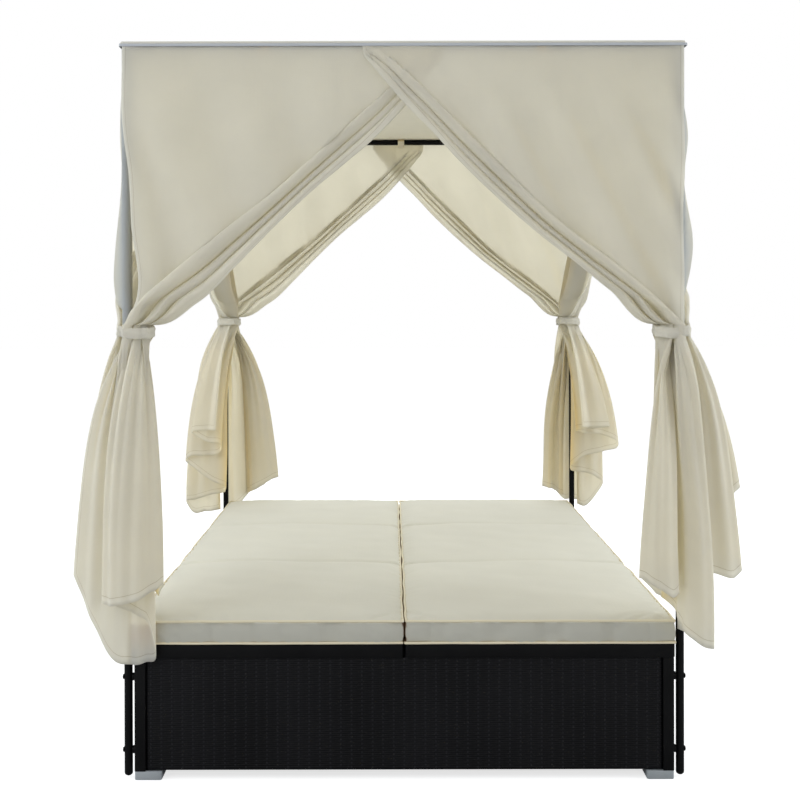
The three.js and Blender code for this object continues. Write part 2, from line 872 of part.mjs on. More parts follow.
function cushionBody(x0, x1, y0, y1) {
  const middleX = (x0 + x1) / 2;
  const halfX = (x1 - x0) / 2;
  const z0 = frameTop + gap;
  const z1 = frameTop + cushionHeight;
  const pinch = (y) => Math.max(...creases.map((crease) => 1 - Math.abs(y - crease) / creaseHalf), 0);
  const near = (y) => Math.max(0, 1 - Math.min(y - cushionFront, cushionRear - y) / cushionEdge);
  const point = (a, y, level) => {
    const end = near(y) * near(y);
    const side = Math.pow(Math.abs(a), crownPower);
    const inward = cushionSideBulge * level.in + cushionCornerPull * side * end;
    const reach = halfX - inward - creasePull * pinch(y);
    const drop = level.top * (cushionEdgeDrop * Math.max(side, end) + creaseDepth * pinch(y));
    const turn = y < 0 ? end : -end;
    const z = mix(z0, z1, level.height) - drop;
    return new THREE.Vector3(middleX + a * reach, y + turn * inward, z);
  };
  const top = { in: 1, top: 1, height: 1 };
  const bottom = { in: 1, top: 0, height: 0 };
  const rings = [
    { in: 0.25, top: 0.7, height: 0.86 },
    { in: 0, top: 0, height: 0.5 },
    { in: 0.25, top: 0, height: 0.12 },
  ];
  return shell(crossPlaces, lengthPlaces(y0, y1), point, top, bottom, rings);
}

// A closed body with a gridded top and bottom and rings round its sides.
function shell(xs, ys, point, top, bottom, rings) {
  const positions = [];
  const faces = [];
  const put = (p) => positions.push(p.x, p.y, p.z) / 3 - 1;
  const grid = (level) => ys.map((y) => xs.map((a) => put(point(a, y, level))));
  const upper = grid(top);
  const lower = grid(bottom);
  for (let i = 0; i + 1 < ys.length; i++) {
    for (let j = 0; j + 1 < xs.length; j++) {
      const [a, b, c, d] = [upper[i][j], upper[i][j + 1], upper[i + 1][j + 1], upper[i + 1][j]];
      faces.push(a, b, c, a, c, d);
      const [e, f, g, h] = [lower[i][j], lower[i + 1][j], lower[i + 1][j + 1], lower[i][j + 1]];
      faces.push(e, f, g, e, g, h);
    }
  }
  const round = [];
  const lastI = ys.length - 1;
  const lastJ = xs.length - 1;
  for (let j = 0; j < lastJ; j++) round.push([0, j]);
  for (let i = 0; i < lastI; i++) round.push([i, lastJ]);
  for (let j = lastJ; j > 0; j--) round.push([lastI, j]);
  for (let i = lastI; i > 0; i--) round.push([i, 0]);
  const levels = [
    round.map(([i, j]) => upper[i][j]),
    ...rings.map((level) => round.map(([i, j]) => put(point(xs[j], ys[i], level)))),
    round.map(([i, j]) => lower[i][j]),
  ];
  for (let k = 0; k + 1 < levels.length; k++) {
    for (let m = 0; m < round.length; m++) {
      const next = (m + 1) % round.length;
      const [a, b, c, d] = [levels[k][m], levels[k][next], levels[k + 1][next], levels[k + 1][m]];
      faces.push(a, d, c, a, c, b);
    }
  }
  return closed(positions, faces);
}

function buildCushions(side, name) {
  const inner = cushionSplit / 2;
  const outer = halfWidth + cushionOverhang;
  const x0 = side < 0 ? -outer : inner;
  const x1 = side < 0 ? -inner : outer;
  const sections = [
    ["seat_cushion_", cushionFront, hingeY - foldHalf - gap],
    ["cushion_fold_", hingeY - foldHalf, hingeY + foldHalf],
    ["back_cushion_", hingeY + foldHalf + gap, cushionRear],
  ];
  for (const [part, y0, y1] of sections) add(part + name, cushionBody(x0, x1, y0, y1), cream);
}

buildFeet();
buildLegs();
buildBase();
buildCrossFrame();
for (const [side, name] of [[-1, "left"], [1, "right"]]) {
  buildSeatFrame(side, name);
  buildHingeRod(side, name);
  buildBackrest(side, name);
  buildPropStand(side, name);
  buildCushions(side, name);
}
buildPosts();
buildFixings();
buildRails();
buildRoof();
buildCurtains();
buildTies();

export default group;
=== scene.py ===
# %% [markdown]
# Outdoor daybed with canopy. Two loungers stand side by side on one woven base, each with a long
# piped cushion and a backrest that reclines. Four posts carry a cloth roof, and eight curtains hang
# from its rails and are tied back to the posts. The frame, its joints and its sizes come ready made,
# so this lesson is about soft goods and finishes: how cloth hangs, how a cushion fills its cover, how
# strand is woven, and which material each surface is.

# %% Load the frame
import math

import bmesh
import bpy
import numpy as np
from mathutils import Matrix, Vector


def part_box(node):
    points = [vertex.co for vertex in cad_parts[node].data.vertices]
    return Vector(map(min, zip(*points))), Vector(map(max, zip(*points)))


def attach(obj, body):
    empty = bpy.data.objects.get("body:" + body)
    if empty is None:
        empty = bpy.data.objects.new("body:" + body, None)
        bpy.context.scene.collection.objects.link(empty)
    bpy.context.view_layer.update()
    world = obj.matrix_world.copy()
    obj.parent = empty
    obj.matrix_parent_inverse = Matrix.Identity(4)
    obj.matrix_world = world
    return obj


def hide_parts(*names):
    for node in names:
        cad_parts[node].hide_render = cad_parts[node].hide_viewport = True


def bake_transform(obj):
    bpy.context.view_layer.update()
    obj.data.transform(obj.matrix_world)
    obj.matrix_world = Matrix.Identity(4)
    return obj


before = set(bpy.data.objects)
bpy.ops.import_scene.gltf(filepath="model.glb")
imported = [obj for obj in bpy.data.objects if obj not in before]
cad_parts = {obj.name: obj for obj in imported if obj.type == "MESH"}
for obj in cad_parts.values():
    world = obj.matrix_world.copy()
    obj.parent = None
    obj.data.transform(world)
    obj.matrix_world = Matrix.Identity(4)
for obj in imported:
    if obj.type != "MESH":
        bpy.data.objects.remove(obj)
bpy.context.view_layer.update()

# %% [markdown]
# Everything that follows is measured from the frame. Reading a size from the piece that carries it
# keeps cloth on its rail and cushions on their decks, and it shows a reader where each number
# comes from. MM turns millimetres, which a maker thinks in, to the metres that the scene uses.

# %% Places read from the frame
MM = 0.001
panel_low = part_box("panel_front")[0]
rail_low, rail_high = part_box("rail_front")
left_rail_low, left_rail_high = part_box("rail_left")
tie_low, tie_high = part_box("tie_front_left")
roof_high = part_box("roof_cloth")[1]

rail_radius = (rail_high.z - rail_low.z) / 2
rail_z = (rail_high.z + rail_low.z) / 2
post_x = -(left_rail_low.x + left_rail_high.x) / 2
post_y = -(rail_low.y + rail_high.y) / 2
tie_z = (tie_low.z + tie_high.z) / 2
tie_height = tie_high.z - tie_low.z
print(f"posts at x {post_x:.3f} y {post_y:.3f}, rail {rail_z:.3f} m up, tie {tie_z:.3f} m up")

# Each corner of the bed: its name, and which way it lies from the middle in x and in y.
CORNERS = [("front_left", -1, -1), ("front_right", 1, -1), ("back_left", -1, 1), ("back_right", 1, 1)]

# %% [markdown]
# The photograph was taken from about 3.3 m in front of the base, at the height of a standing person's
# chest, with a normal lens held level. A camera could be placed by eye, but the widths of the base and
# of the back posts give the distance, and the height where the long edges meet gives the camera's
# height, so it is worked out instead. The shift crops the frame as the picture is cropped: the point
# straight ahead of the lens lies above the middle, because the object was framed down to its feet.

# %% Camera
PICTURE = 800  # pixels, both ways
FOCAL_PX = 1264
AXIS_PX = (390, 308)  # the point straight ahead of the lens
SENSOR = 36
EYE = Vector((-35 * MM, panel_low.y - 3.276, 1.235))
DOWN_TILT = 0.2  # degrees
ROLL = -0.12

camera_data = bpy.data.cameras.new("studio_camera")
camera_data.sensor_width = SENSOR
camera_data.lens = SENSOR * FOCAL_PX / PICTURE
camera_data.shift_x = (PICTURE / 2 - AXIS_PX[0]) / PICTURE
camera_data.shift_y = -(PICTURE / 2 - AXIS_PX[1]) / PICTURE
camera = bpy.data.objects.new("studio_camera", camera_data)
camera.location = EYE
camera.rotation_euler = (math.radians(90 - DOWN_TILT), 0, 0)
bpy.context.scene.collection.objects.link(camera)
camera.rotation_euler.rotate_axis("Z", math.radians(ROLL))
bpy.context.scene.camera = camera
print("lens", round(camera_data.lens, 1), "mm")

# %% [markdown]
# Cloth and strand are surfaces over a grid: rows run one way, columns the other, and a formula says
# where each crossing lies. A few helpers turn such grids into meshes. Working on whole arrays at
# once is far quicker than moving vertices one by one, and it keeps each shape a short formula.

# %% Helpers for numbers and meshes
def mix(a, b, t):
    """From a, where t is 0, to b, where t is 1."""
    return a + (b - a) * t


def smooth(low, high, x):
    """From 0 at low to 1 at high, eased at both ends."""
    t = np.clip((x - low) / (high - low), 0, 1)
    return t * t * (3 - 2 * t)


def spline(keys, x):
    """A smooth curve through keys, rows of (place, values...), read at every x."""
    keys = np.array(keys, float)
    place, values = keys[:, 0], keys[:, 1:]
    slope = np.gradient(values, place, axis=0)
    i = np.clip(np.searchsorted(place, x, side="right") - 1, 0, len(place) - 2)
    step = (place[i + 1] - place[i])[:, None]
    t = ((x - place[i]) / step[:, 0])[:, None]
    start, end = values[i], values[i + 1]
    a, b = slope[i] * step, slope[i + 1] * step
    return (
        (2 * t**3 - 3 * t**2 + 1) * start
        + (t**3 - 2 * t**2 + t) * a
        + (3 * t**2 - 2 * t**3) * end
        + (t**3 - t**2) * b
    )


def soft_noise(x, y, seed, waves=5):
    """A gentle, repeatable unevenness between about -1 and 1, from a few crossing waves."""
    rng = np.random.default_rng(seed)
    total = np.zeros(np.broadcast(x, y).shape)
    for _ in range(waves):
        angle, phase = rng.uniform(0, 2 * math.pi, 2)
        size = rng.uniform(0.7, 1.6)
        total += np.sin(2 * math.pi * size * (x * math.cos(angle) + y * math.sin(angle)) + phase)
    return total / waves**0.5


def new_mesh(name, points, faces, uv=None):
    """A mesh object from an array of points and a list of faces, with a UV in metres if given."""
    mesh = bpy.data.meshes.new(name)
    mesh.from_pydata(np.asarray(points).tolist(), [], np.asarray(faces).tolist())
    if uv is not None:
        layer = mesh.uv_layers.new(name="cloth")
        loops = np.zeros(len(mesh.loops), np.int32)
        mesh.loops.foreach_get("vertex_index", loops)
        layer.data.foreach_set("uv", np.asarray(uv, np.float32)[loops].ravel())
    mesh.polygons.foreach_set("use_smooth", np.ones(len(mesh.polygons), bool))
    mesh.update()
    obj = bpy.data.objects.new(name, mesh)
    bpy.context.scene.collection.objects.link(obj)
    return obj


def grid_faces(rows, columns, round_columns=False):
    """Four-cornered faces over a grid; round_columns joins the last column to the first."""
    last = columns if round_columns else columns - 1
    i, j = np.meshgrid(np.arange(rows - 1), np.arange(last), indexing="ij")
    k = (j + 1) % columns
    corners = [i * columns + j, i * columns + k, (i + 1) * columns + k, (i + 1) * columns + j]
    return np.stack(corners, -1).reshape(-1, 4)


def grid_object(name, grid, uv, thickness, round_columns=False):
    """A sheet of cloth over a grid of points, with a modifier that gives it its thickness."""
    rows, columns = grid.shape[:2]
    faces = grid_faces(rows, columns, round_columns)
    obj = new_mesh(name, grid.reshape(-1, 3), faces, uv.reshape(-1, 2))
    thicken(obj, thickness)
    return obj


def thicken(obj, thickness):
    """Makes a thin closed body of a surface, half to each side of it."""
    solid = obj.modifiers.new("cloth thickness", "SOLIDIFY")
    solid.thickness = thickness
    solid.offset = 0


def apply_modifiers(obj):
    graph = bpy.context.evaluated_depsgraph_get()
    mesh = bpy.data.meshes.new_from_object(obj.evaluated_get(graph))
    obj.modifiers.clear()
    obj.data = mesh


def closed_cord(name, path, radius, sides):
    """A round cord along a path that ends where it starts."""
    path = np.asarray(path, float)
    along = np.roll(path, -1, 0) - np.roll(path, 1, 0)
    along /= np.linalg.norm(along, axis=1)[:, None]
    across = np.cross(along, np.array([0.0, 0.0, 1.0]))
    across /= np.linalg.norm(across, axis=1)[:, None]
    normal = np.cross(across, along)
    angle = np.linspace(0, 2 * math.pi, sides, endpoint=False)
    ring = np.cos(angle)[None, :, None] * across[:, None] + np.sin(angle)[None, :, None] * normal[:, None]
    last = (len(path) - 1) * sides
    faces = grid_faces(len(path), sides, True).tolist()
    faces += [[last + j, last + (j + 1) % sides, (j + 1) % sides, j] for j in range(sides)]
    return new_mesh(name, (path[:, None] + radius * ring).reshape(-1, 3), faces)


def rim(rows, columns):
    """The points round the edge of a grid, in order, without repeating the corners."""
    return np.concatenate([
        np.arange(columns - 1), np.arange(rows - 1) * columns + columns - 1,
        (rows - 1) * columns + np.arange(columns - 1, 0, -1), np.arange(rows - 1, 0, -1) * columns,
    ])


def add_attribute(mesh, name, values):
    """A number for every point, which a material can read."""
    layer = mesh.attributes.new(name, "FLOAT", "POINT")
    layer.data.foreach_set("value", np.ascontiguousarray(values, np.float32).ravel())


# %% [markdown]
# Colours are written as a designer writes them, as sRGB hex values, and one function turns them to
# the linear values that a renderer adds up. Materials are trees of nodes. One helper adds a node with
# its settings and links, so that each material reads as a short recipe.

# %% Helpers for colours and materials
def linear(hex_colour):
    value = hex_colour.lstrip("#")
    parts = [int(value[i : i + 2], 16) / 255 for i in (0, 2, 4)]
    return tuple(c / 12.92 if c <= 0.04045 else ((c + 0.055) / 1.055) ** 2.4 for c in parts) + (1.0,)


def add_node(tree, kind, inputs=(), **settings):
    """Adds a node. inputs holds a link or a value for a socket; settings name properties or inputs."""
    node = tree.nodes.new(kind)
    for key, value in settings.items():
        if hasattr(node, key):
            setattr(node, key, value)
        else:
            node.inputs[key.replace("_", " ")].default_value = value
    for socket, source in dict(inputs).items():
        if isinstance(source, bpy.types.NodeSocket):
            tree.links.new(source, node.inputs[socket])
        else:
            node.inputs[socket].default_value = source
    return node


def new_material(name):
    material = bpy.data.materials.new(name)
    material.use_nodes = True
    material.node_tree.nodes.clear()
    return material, material.node_tree


def paint(obj, material):
    obj.data.materials.clear()
    obj.data.materials.append(material)

# %% [markdown]
# The curtains and the roof are woven polyester, the light plain-weave kind sold as curtain lining.
# It is matt, faintly fuzzy at grazing angles, and thin enough to glow where light falls on its far
# side. Some of the light that meets it passes through, so a translucent shader is mixed with the plain
# one. A closed slab of cloth is crossed twice, which doubles any tint: the colours here are therefore
# nearly white, and still give cream. In a hollow the light has bounced off cloth several times and
# comes back yellow. The mesh carries how deep each point lies between its neighbours, and that yellow
# is painted into the colour there, as painted bounce light. Ambient occlusion would find such places
# too, but it is wrong inside thin cloth, so only the thick pieces use it, for painted shade in their
# closed-in places. Threads lie about half a millimetre apart. That is finer than the picture can show,
# so the weave is drawn twenty times as coarse, as a faint relief of 10 mm.

# %% Polyester cloth
WEAVE = 10.0531 * MM  # from one drawn band to the next
CLOUDS_PER_METRE = 7.0  # faint clouds of shade, 140 mm across
CRUMPLES_PER_METRE = 26.0  # shallow dents, 38 mm across
SEAM_LINE = 0.9 * MM
HEM_WIDTH = 20 * MM
GLOW = "#fffbef"  # light that has passed through
# Painted bounce light: the pale yellow mixed into cloth deep in a fold.
PAINTED_BOUNCE_LIGHT = "#fdeaa4"
PAINTED_BOUNCE_SHARE = 0.6  # how much of that tint the deepest hollow takes
STITCH_SHARE = 0.4
# Painted shade: the boxing is greyed, as it faces away from the light from above.
BOXING_PAINTED_SHADE = "#dcdddf"  # the side strip of a cushion
STITCH_SHADE = "#b5ab8c"
# Painted shade: where the black post lies behind the cloth, the cloth is painted darker and cooler.
POST_PAINTED_SHADE = "#e8ecf2"  # the black post behind the cloth, seen through it
BAND_RADIANS = 20  # how far a band texture of scale 1 runs through its wave in a metre


def weave_height(tree, coordinates, pitch):
    """Over and under threads of a plain weave, as a height for a bump."""
    bands = [
        add_node(
            tree, "ShaderNodeTexWave", {"Vector": coordinates}, wave_type="BANDS",
            bands_direction=direction, wave_profile="SIN", Scale=math.tau / (BAND_RADIANS * pitch),
        ).outputs["Fac"]
        for direction in ("X", "Y")
    ]
    return add_node(tree, "ShaderNodeMath", {0: bands[0], 1: bands[1]}, operation="MULTIPLY").outputs[0]


def cloth_colour(tree, metres, hem, colours, reach):
    """Open cloth, cloudy in shade; painted bounce light where hollow, painted shade where closed in,
    boxed or over a post; a seam where sewn.
    """
    cloudy = add_node(tree, "ShaderNodeTexNoise", {"Vector": metres}, Scale=CLOUDS_PER_METRE, Detail=3.0)
    shade = add_node(
        tree, "ShaderNodeMapRange", {"Value": cloudy.outputs["Fac"], "To Min": 0.95, "To Max": 1.03}
    )
    colour = linear(colours[0])
    # Painted shade: where ambient occlusion finds the cloth closed in, the colour runs down the ramp to
    # darker, more orange tones.
    if reach:
        painted_shade_ao = add_node(tree, "ShaderNodeAmbientOcclusion", samples=6, Distance=reach)
        tones = add_node(tree, "ShaderNodeValToRGB", {"Fac": painted_shade_ao.outputs["AO"]})
        stops = tones.color_ramp.elements
        stops.new(0.4)
        for stop, place, tone in zip(stops, (0.12, 0.4, 0.78), reversed(colours)):
            stop.position, stop.color = place, linear(tone)
        colour = tones.outputs["Color"]
    # Painted bounce light: the deeper a point lies in a fold, the more of the pale yellow it takes.
    depth = add_node(tree, "ShaderNodeAttribute", attribute_name="hollow").outputs["Fac"]
    painted_bounce_amount = add_node(tree, "ShaderNodeMath", {0: depth, 1: PAINTED_BOUNCE_SHARE}, operation="MULTIPLY").outputs[0]
    boxing = add_node(tree, "ShaderNodeAttribute", attribute_name="boxing").outputs["Fac"]
    past_seam = add_node(tree, "ShaderNodeMath", {0: hem, 1: HEM_WIDTH}, operation="SUBTRACT").outputs[0]
    near_seam = add_node(tree, "ShaderNodeMath", {0: past_seam}, operation="ABSOLUTE").outputs[0]
    on_seam = add_node(tree, "ShaderNodeMath", {0: near_seam, 1: SEAM_LINE}, operation="LESS_THAN")
    stitch = add_node(
        tree, "ShaderNodeMath", {0: on_seam.outputs[0], 1: STITCH_SHARE}, operation="MULTIPLY"
    ).outputs[0]
    # Painted shade over a post, read from the mask that the curtain carries.
    post = add_node(tree, "ShaderNodeAttribute", attribute_name="post_behind").outputs["Fac"]
    # The tints in turn: the clouds, painted bounce light in hollows, painted shade on the boxing, the
    # seam line, and painted shade over a post.
    for share, tint, blend in (
        (1.0, shade.outputs[0], "MULTIPLY"),
        (painted_bounce_amount, linear(PAINTED_BOUNCE_LIGHT), "MIX"),
        (boxing, linear(BOXING_PAINTED_SHADE), "MULTIPLY"),
        (stitch, linear(STITCH_SHADE), "MULTIPLY"),
        (post, linear(POST_PAINTED_SHADE), "MULTIPLY"),
    ):
        tinted = add_node(
            tree, "ShaderNodeMix", {0: share, 6: colour, 7: tint}, data_type="RGBA", blend_type=blend
        )
        colour = tinted.outputs[2]
    return colour


def cloth_material(name, colours, reach=0.0, passes_light=0.0, flat_cut=True):
    """Plain-weave cloth. colours run from open cloth to the painted shade of its deepest folds; reach is
    how far AO looks.
    """
    material, tree = new_material(name)
    if flat_cut:
        metres = add_node(tree, "ShaderNodeUVMap", uv_map="cloth").outputs[0]
    else:
        metres = add_node(tree, "ShaderNodeTexCoord").outputs["Object"]
    hem = add_node(tree, "ShaderNodeAttribute", attribute_name="hem_distance").outputs["Fac"]
    colour = cloth_colour(tree, metres, hem, colours, reach)
    weave = weave_height(tree, metres, WEAVE)
    bump = add_node(tree, "ShaderNodeBump", {"Height": weave}, Strength=0.25, Distance=0.2 * MM)
    crumple = add_node(
        tree, "ShaderNodeTexNoise", {"Vector": metres}, Scale=CRUMPLES_PER_METRE, Detail=4.0
    )
    soft_bump = add_node(
        tree, "ShaderNodeBump", {"Height": crumple.outputs["Fac"], "Normal": bump.outputs[0]},
        Strength=0.35, Distance=1.6 * MM,
    ).outputs[0]
    look = {"Sheen Weight": 0.1, "Specular IOR Level": 0.2, "Roughness": 0.88}
    shown = add_node(
        tree, "ShaderNodeBsdfPrincipled", {"Base Color": colour, "Normal": soft_bump, **look}
    ).outputs[0]
    if passes_light:
        warmed = add_node(
            tree, "ShaderNodeMix", {0: 1.0, 6: colour, 7: linear(GLOW)},
            data_type="RGBA", blend_type="MULTIPLY",
        ).outputs[2]
        glowing = add_node(tree, "ShaderNodeBsdfTranslucent", {"Color": warmed, "Normal": soft_bump})
        single = add_node(tree, "ShaderNodeMath", {0: hem, 1: HEM_WIDTH}, operation="GREATER_THAN")
        share = add_node(tree, "ShaderNodeMapRange", {
            "Value": single.outputs[0], "To Min": passes_light * 0.94, "To Max": passes_light,
        })
        shown = add_node(
            tree, "ShaderNodeMixShader", {0: share.outputs[0], 1: shown, 2: glowing.outputs[0]}
        ).outputs[0]
    add_node(tree, "ShaderNodeOutputMaterial", {"Surface": shown})
    return material


curtain_polyester = cloth_material("curtain_polyester", ["#f6f6f4"], passes_light=0.64)
roof_polyester = cloth_material("roof_polyester", ["#ebe9e0"], passes_light=0.3)
print("cloth:", curtain_polyester.name, "and", roof_polyester.name)

# %% [markdown]
# A curtain here is a flat rectangle of cloth, 0.84 m wide at the two ends of the bed and 1.05 m at its
# long sides, and 1.60 m long. Threads hang straight from the rail, as far as a slanting ridge. There
# they turn into a band of folds that leads to the tie. Simulating that from a flat sheet needs a tie
# that tightens slowly and many seconds a curtain, and the folds land where they like. A formula puts
# them where the photograph has them, so each curtain is a grid: u runs across the cloth from its edge
# at the post to its far edge, and v runs down every thread. A point of it has an h, inwards from the
# post, an n, outwards from the rail, and a z, up from the rail.
#
# The far edge and the ridge were read off the front curtain as heights below the rail. They are given
# as shares of the reach and of the drop, so that the same two curves serve the longer sides. The band
# between them is folded like a paper fan seen end on: its first fold turns back under itself, which
# gives the soft roll along the ridge, and the others are rolls with narrow creases between them that
# reach in behind the curtain, where the rest of the cloth is.

# %% Measures of the upper part of a curtain
CLOTH = 1.2 * MM  # drawn somewhat thicker than it is, so that both faces render cleanly
HANG = 13.5 * MM  # how far outside the middle of the rail the cloth hangs
EDGE_H = -9 * MM  # where the edge at the post lies, inwards from the post's middle
TOP = 4 * MM
GATHER_DROP = rail_z - tie_z - tie_height / 2 - 5 * MM
BUNDLE = 56 * MM  # how wide the gathered cloth is at the tie
REACH = {"end": post_x + 106 * MM, "side": post_y + 60 * MM}
CUT = {"end": (0.84, 1.60), "side": (1.05, 1.60)}
COLUMNS = 200
UPPER_ROWS = 104
TAIL_ROWS = 66
BAND_WIDTH = 90  # millimetres, square to its folds
TURN_IN = 44 * MM  # how far the far edge turns in round the post at the tie

# Shares of the drop to the tie, by share of the reach, for the ridge and for the far edge.
RIDGE_SHARES = {
    "left": [
        (0.0, 0.97), (0.061, 0.895), (0.14, 0.82), (0.246, 0.72), (0.33, 0.645), (0.46, 0.53),
        (0.58, 0.41), (0.71, 0.275), (0.83, 0.15), (0.93, 0.04), (1.0, 0.0),
    ],
    "right": [
        (0.0, 0.985), (0.07, 0.915), (0.143, 0.842), (0.24, 0.755), (0.33, 0.68), (0.44, 0.575),
        (0.536, 0.466), (0.62, 0.372), (0.709, 0.27), (0.85, 0.108), (0.94, 0.02), (1.0, 0.0),
    ],
}
FAR_EDGE_SHARES = {
    "left": [
        (0.0, 1.0), (0.074, 0.996), (0.15, 0.962), (0.246, 0.9), (0.344, 0.79), (0.46, 0.655),
        (0.585, 0.52), (0.68, 0.43), (0.783, 0.33), (0.88, 0.215), (1.0, 0.05),
    ],
    "right": [
        (0.0, 1.0), (0.065, 0.985), (0.153, 0.93), (0.24, 0.86), (0.33, 0.778), (0.45, 0.672),
        (0.6, 0.522), (0.709, 0.4), (0.771, 0.323), (0.869, 0.208), (1.0, 0.03),
    ],
}
# The folded band seen end on: share of the way from the ridge to the far edge, and millimetres out.
BAND_FOLDS = [
    (0.0, 0), (0.12, 1), (0.2, 3), (0.19, 6), (0.07, 9), (-0.02, 13), (-0.015, 19), (0.05, 25),
    (0.16, 28), (0.28, 24), (0.36, 12), (0.395, -10), (0.402, -58), (0.41, -10), (0.45, 8), (0.53, 13),
    (0.6, 11), (0.655, 1), (0.668, -50), (0.682, 1), (0.74, 9), (0.82, 12), (0.9, 10), (1.0, 7),
]


def by_length(points, scale=(1, 1)):
    """Rows of a folded line, each led by its share of the line's length, and that length."""
    points = np.array(points, float)
    steps = np.hypot(np.diff(points[:, 0]) * scale[0], np.diff(points[:, 1]) * scale[1])
    run = np.concatenate([[0], np.cumsum(steps)])
    return np.column_stack([run / run[-1], points]), run[-1]


band_line, band_length = by_length(BAND_FOLDS, (BAND_WIDTH, 1))
print(f"the tie is {GATHER_DROP:.3f} m down; {band_length:.0f} mm of cloth fold into {BAND_WIDTH} mm")

# %% [markdown]
# A thread keeps its length however it hangs, so each one is followed on its own: straight down to the
# ridge, then along the band, at its own place in the folds, to the bundle. Rows of the grid lie at
# equal shares of each thread's length, which keeps the weave even where the cloth turns.

# %% The route of a thread
def across(count, crowding=1.12):
    """Places across the cloth, closer together towards the far edge, where the folds are."""
    return 1 - (1 - np.linspace(0, 1, count)) ** crowding


def thread(u, reach, side, steps=160):
    """The route of one thread from the rail to the tie: h, z and how deep it is in the band."""
    h0 = mix(EDGE_H, reach, u)
    share = np.clip(h0 / reach, 0, 1)
    ridge_z = -GATHER_DROP * spline(RIDGE_SHARES[side], np.array([share]))[0, 0]
    fall = np.linspace(TOP, ridge_z, steps)
    end_place = spline(band_line, np.array([u]))[0, 0]
    t = np.linspace(0, 1, steps)
    band_h = mix(h0, mix(EDGE_H, BUNDLE, end_place), t)
    place = np.clip(band_h / reach, 0, 1)
    upper = spline(RIDGE_SHARES[side], place)[:, 0]
    lower = np.maximum(spline(FAR_EDGE_SHARES[side], place)[:, 0], upper)
    u_here = np.clip((band_h - EDGE_H) / (reach - EDGE_H), 0, 1)
    deep = np.clip((u - u_here) / np.maximum(1e-6, 1 - u_here), 0, 1)
    deep = mix(deep, u, smooth(0.9, 1, t))
    band_z = -GATHER_DROP * mix(upper, lower, spline(band_line, deep)[:, 0])
    band_z = mix(band_z, -GATHER_DROP, smooth(0.84, 1, t))
    h = np.concatenate([np.full(steps, h0), band_h])
    z = np.concatenate([fall, band_z])
    deep = np.concatenate([np.zeros(steps), deep])
    length = np.concatenate([[0], np.cumsum(np.hypot(np.diff(h), np.diff(z)))])
    return h, z, deep, length


middle_length = thread(0.5, REACH["end"], "left")[-1][-1]
print(f"a thread in the middle of an end curtain runs {middle_length:.3f} m from the rail to the tie")

# %% [markdown]
# The routes say where the cloth lies when looked at from the front. How far it stands out is added
# here: the folds of the band, broad soft folds in the open cloth above it, fine gathers near the tie,
# and the few millimetres by which one curtain of a lap clears the other.

# %% The relief of the upper part
POST_EDGE_STRAY = [(0.0, 0.0), (0.3, 0.05), (0.46, 0.45), (0.64, 0.66), (0.9, 0.95), (1.0, 0.3)]
FULL_BAND = 1.15  # the folds reach their full depth where this many lengths of band are to spare
SMALL_ROLL = 2.5 * MM
CREASE_WAVES = 17  # fine gathers across the cloth just above the tie
OVERLAP_LIFT = 18 * MM  # how far the upper curtain of a lap stands off the lower one


def edge_drift(c, u, z):
    """How far the edge at the post strays inwards, as the photograph shows at the front left."""
    down = -z / GATHER_DROP
    stray = spline(POST_EDGE_STRAY, np.clip(down, 0, 1).ravel())[:, 0].reshape(down.shape)
    return c["drift"] * stray * (1 - smooth(0, 0.16, u))


def band_relief(c, h, deep, v, past_post):
    """How far the folded band stands out, and 1 where a point lies in it."""
    in_band = smooth(0, 0.02, deep)
    place, fold = np.moveaxis(spline(band_line, deep.ravel()).reshape(*h.shape, 2), -1, 0)
    spare = (1 - np.clip((h - EDGE_H) / (c["reach"] - EDGE_H), 0, 1)) * c["width"]
    fold = fold * MM * np.clip(spare / (FULL_BAND * band_length * MM), 0, 1)
    at_tie = smooth(0.86, 1, v)
    crease = fold * past_post * c["pinch"] * mix(1, 0.8, at_tie)
    fold = np.where(fold < 0, crease, fold * mix(1, 0.5, at_tie))
    turn_in = TURN_IN * smooth(0.45, 1, place) * smooth(0.74, 1, v) * past_post
    return in_band * (fold - turn_in), in_band


def upper_grid(c):
    """h, n and z of a curtain from its rail to its tie, and the length run, a row for each step down."""
    v = np.linspace(0, 1, UPPER_ROWS)
    h, z, deep, down = (np.zeros((UPPER_ROWS, COLUMNS)) for _ in range(4))
    for j, place in enumerate(across(COLUMNS)):
        *route, length = thread(place, c["reach"], c["lean"])
        down[:, j] = v * length[-1]
        h[:, j], z[:, j], deep[:, j] = (np.interp(down[:, j], length, values) for values in route)
    v = np.broadcast_to(v[:, None], h.shape)
    u = np.broadcast_to(across(COLUMNS), h.shape)
    fallen = -z / GATHER_DROP
    relief, in_band = band_relief(c, h, deep, v, smooth(10 * MM, 17 * MM, h))
    n = HANG + relief
    soft = (h + c["soft_slant"] * -z) / c["soft_spacing"]
    calm = smooth(0.02, 0.35, fallen) * (1 - in_band)
    n = n + c["soft_height"] * calm * (1 + np.sin(2 * math.pi * (soft + c["soft_phase"]))) / 2
    n = n + SMALL_ROLL * calm * soft_noise(h / 0.5, z / 0.5, c["seed"])
    near_tie = np.exp(-((z + GATHER_DROP) ** 2 + (h * 0.5) ** 2) / (90 * MM) ** 2)
    near_tie = near_tie * (1 - smooth(0.9, 1, v))
    n = n + 1.0 * MM * near_tie * np.sin(2 * math.pi * CREASE_WAVES * u)
    lift = mix(2.5 * MM, OVERLAP_LIFT, smooth(0, 0.12, v))
    n = n + c["over"] * lift * smooth(0.35, 0.9, np.clip(h / c["reach"], 0, 1))
    n = n + c["clear"] * (1 - smooth(0, 0.08, u))
    belly = np.exp(-np.maximum(0, h) / 0.16) * smooth(0.1, 0.7, fallen) * (1 - smooth(0.8, 1, v))
    n = n + c["bulge"] * belly
    return h + edge_drift(c, u, z), n, z, down


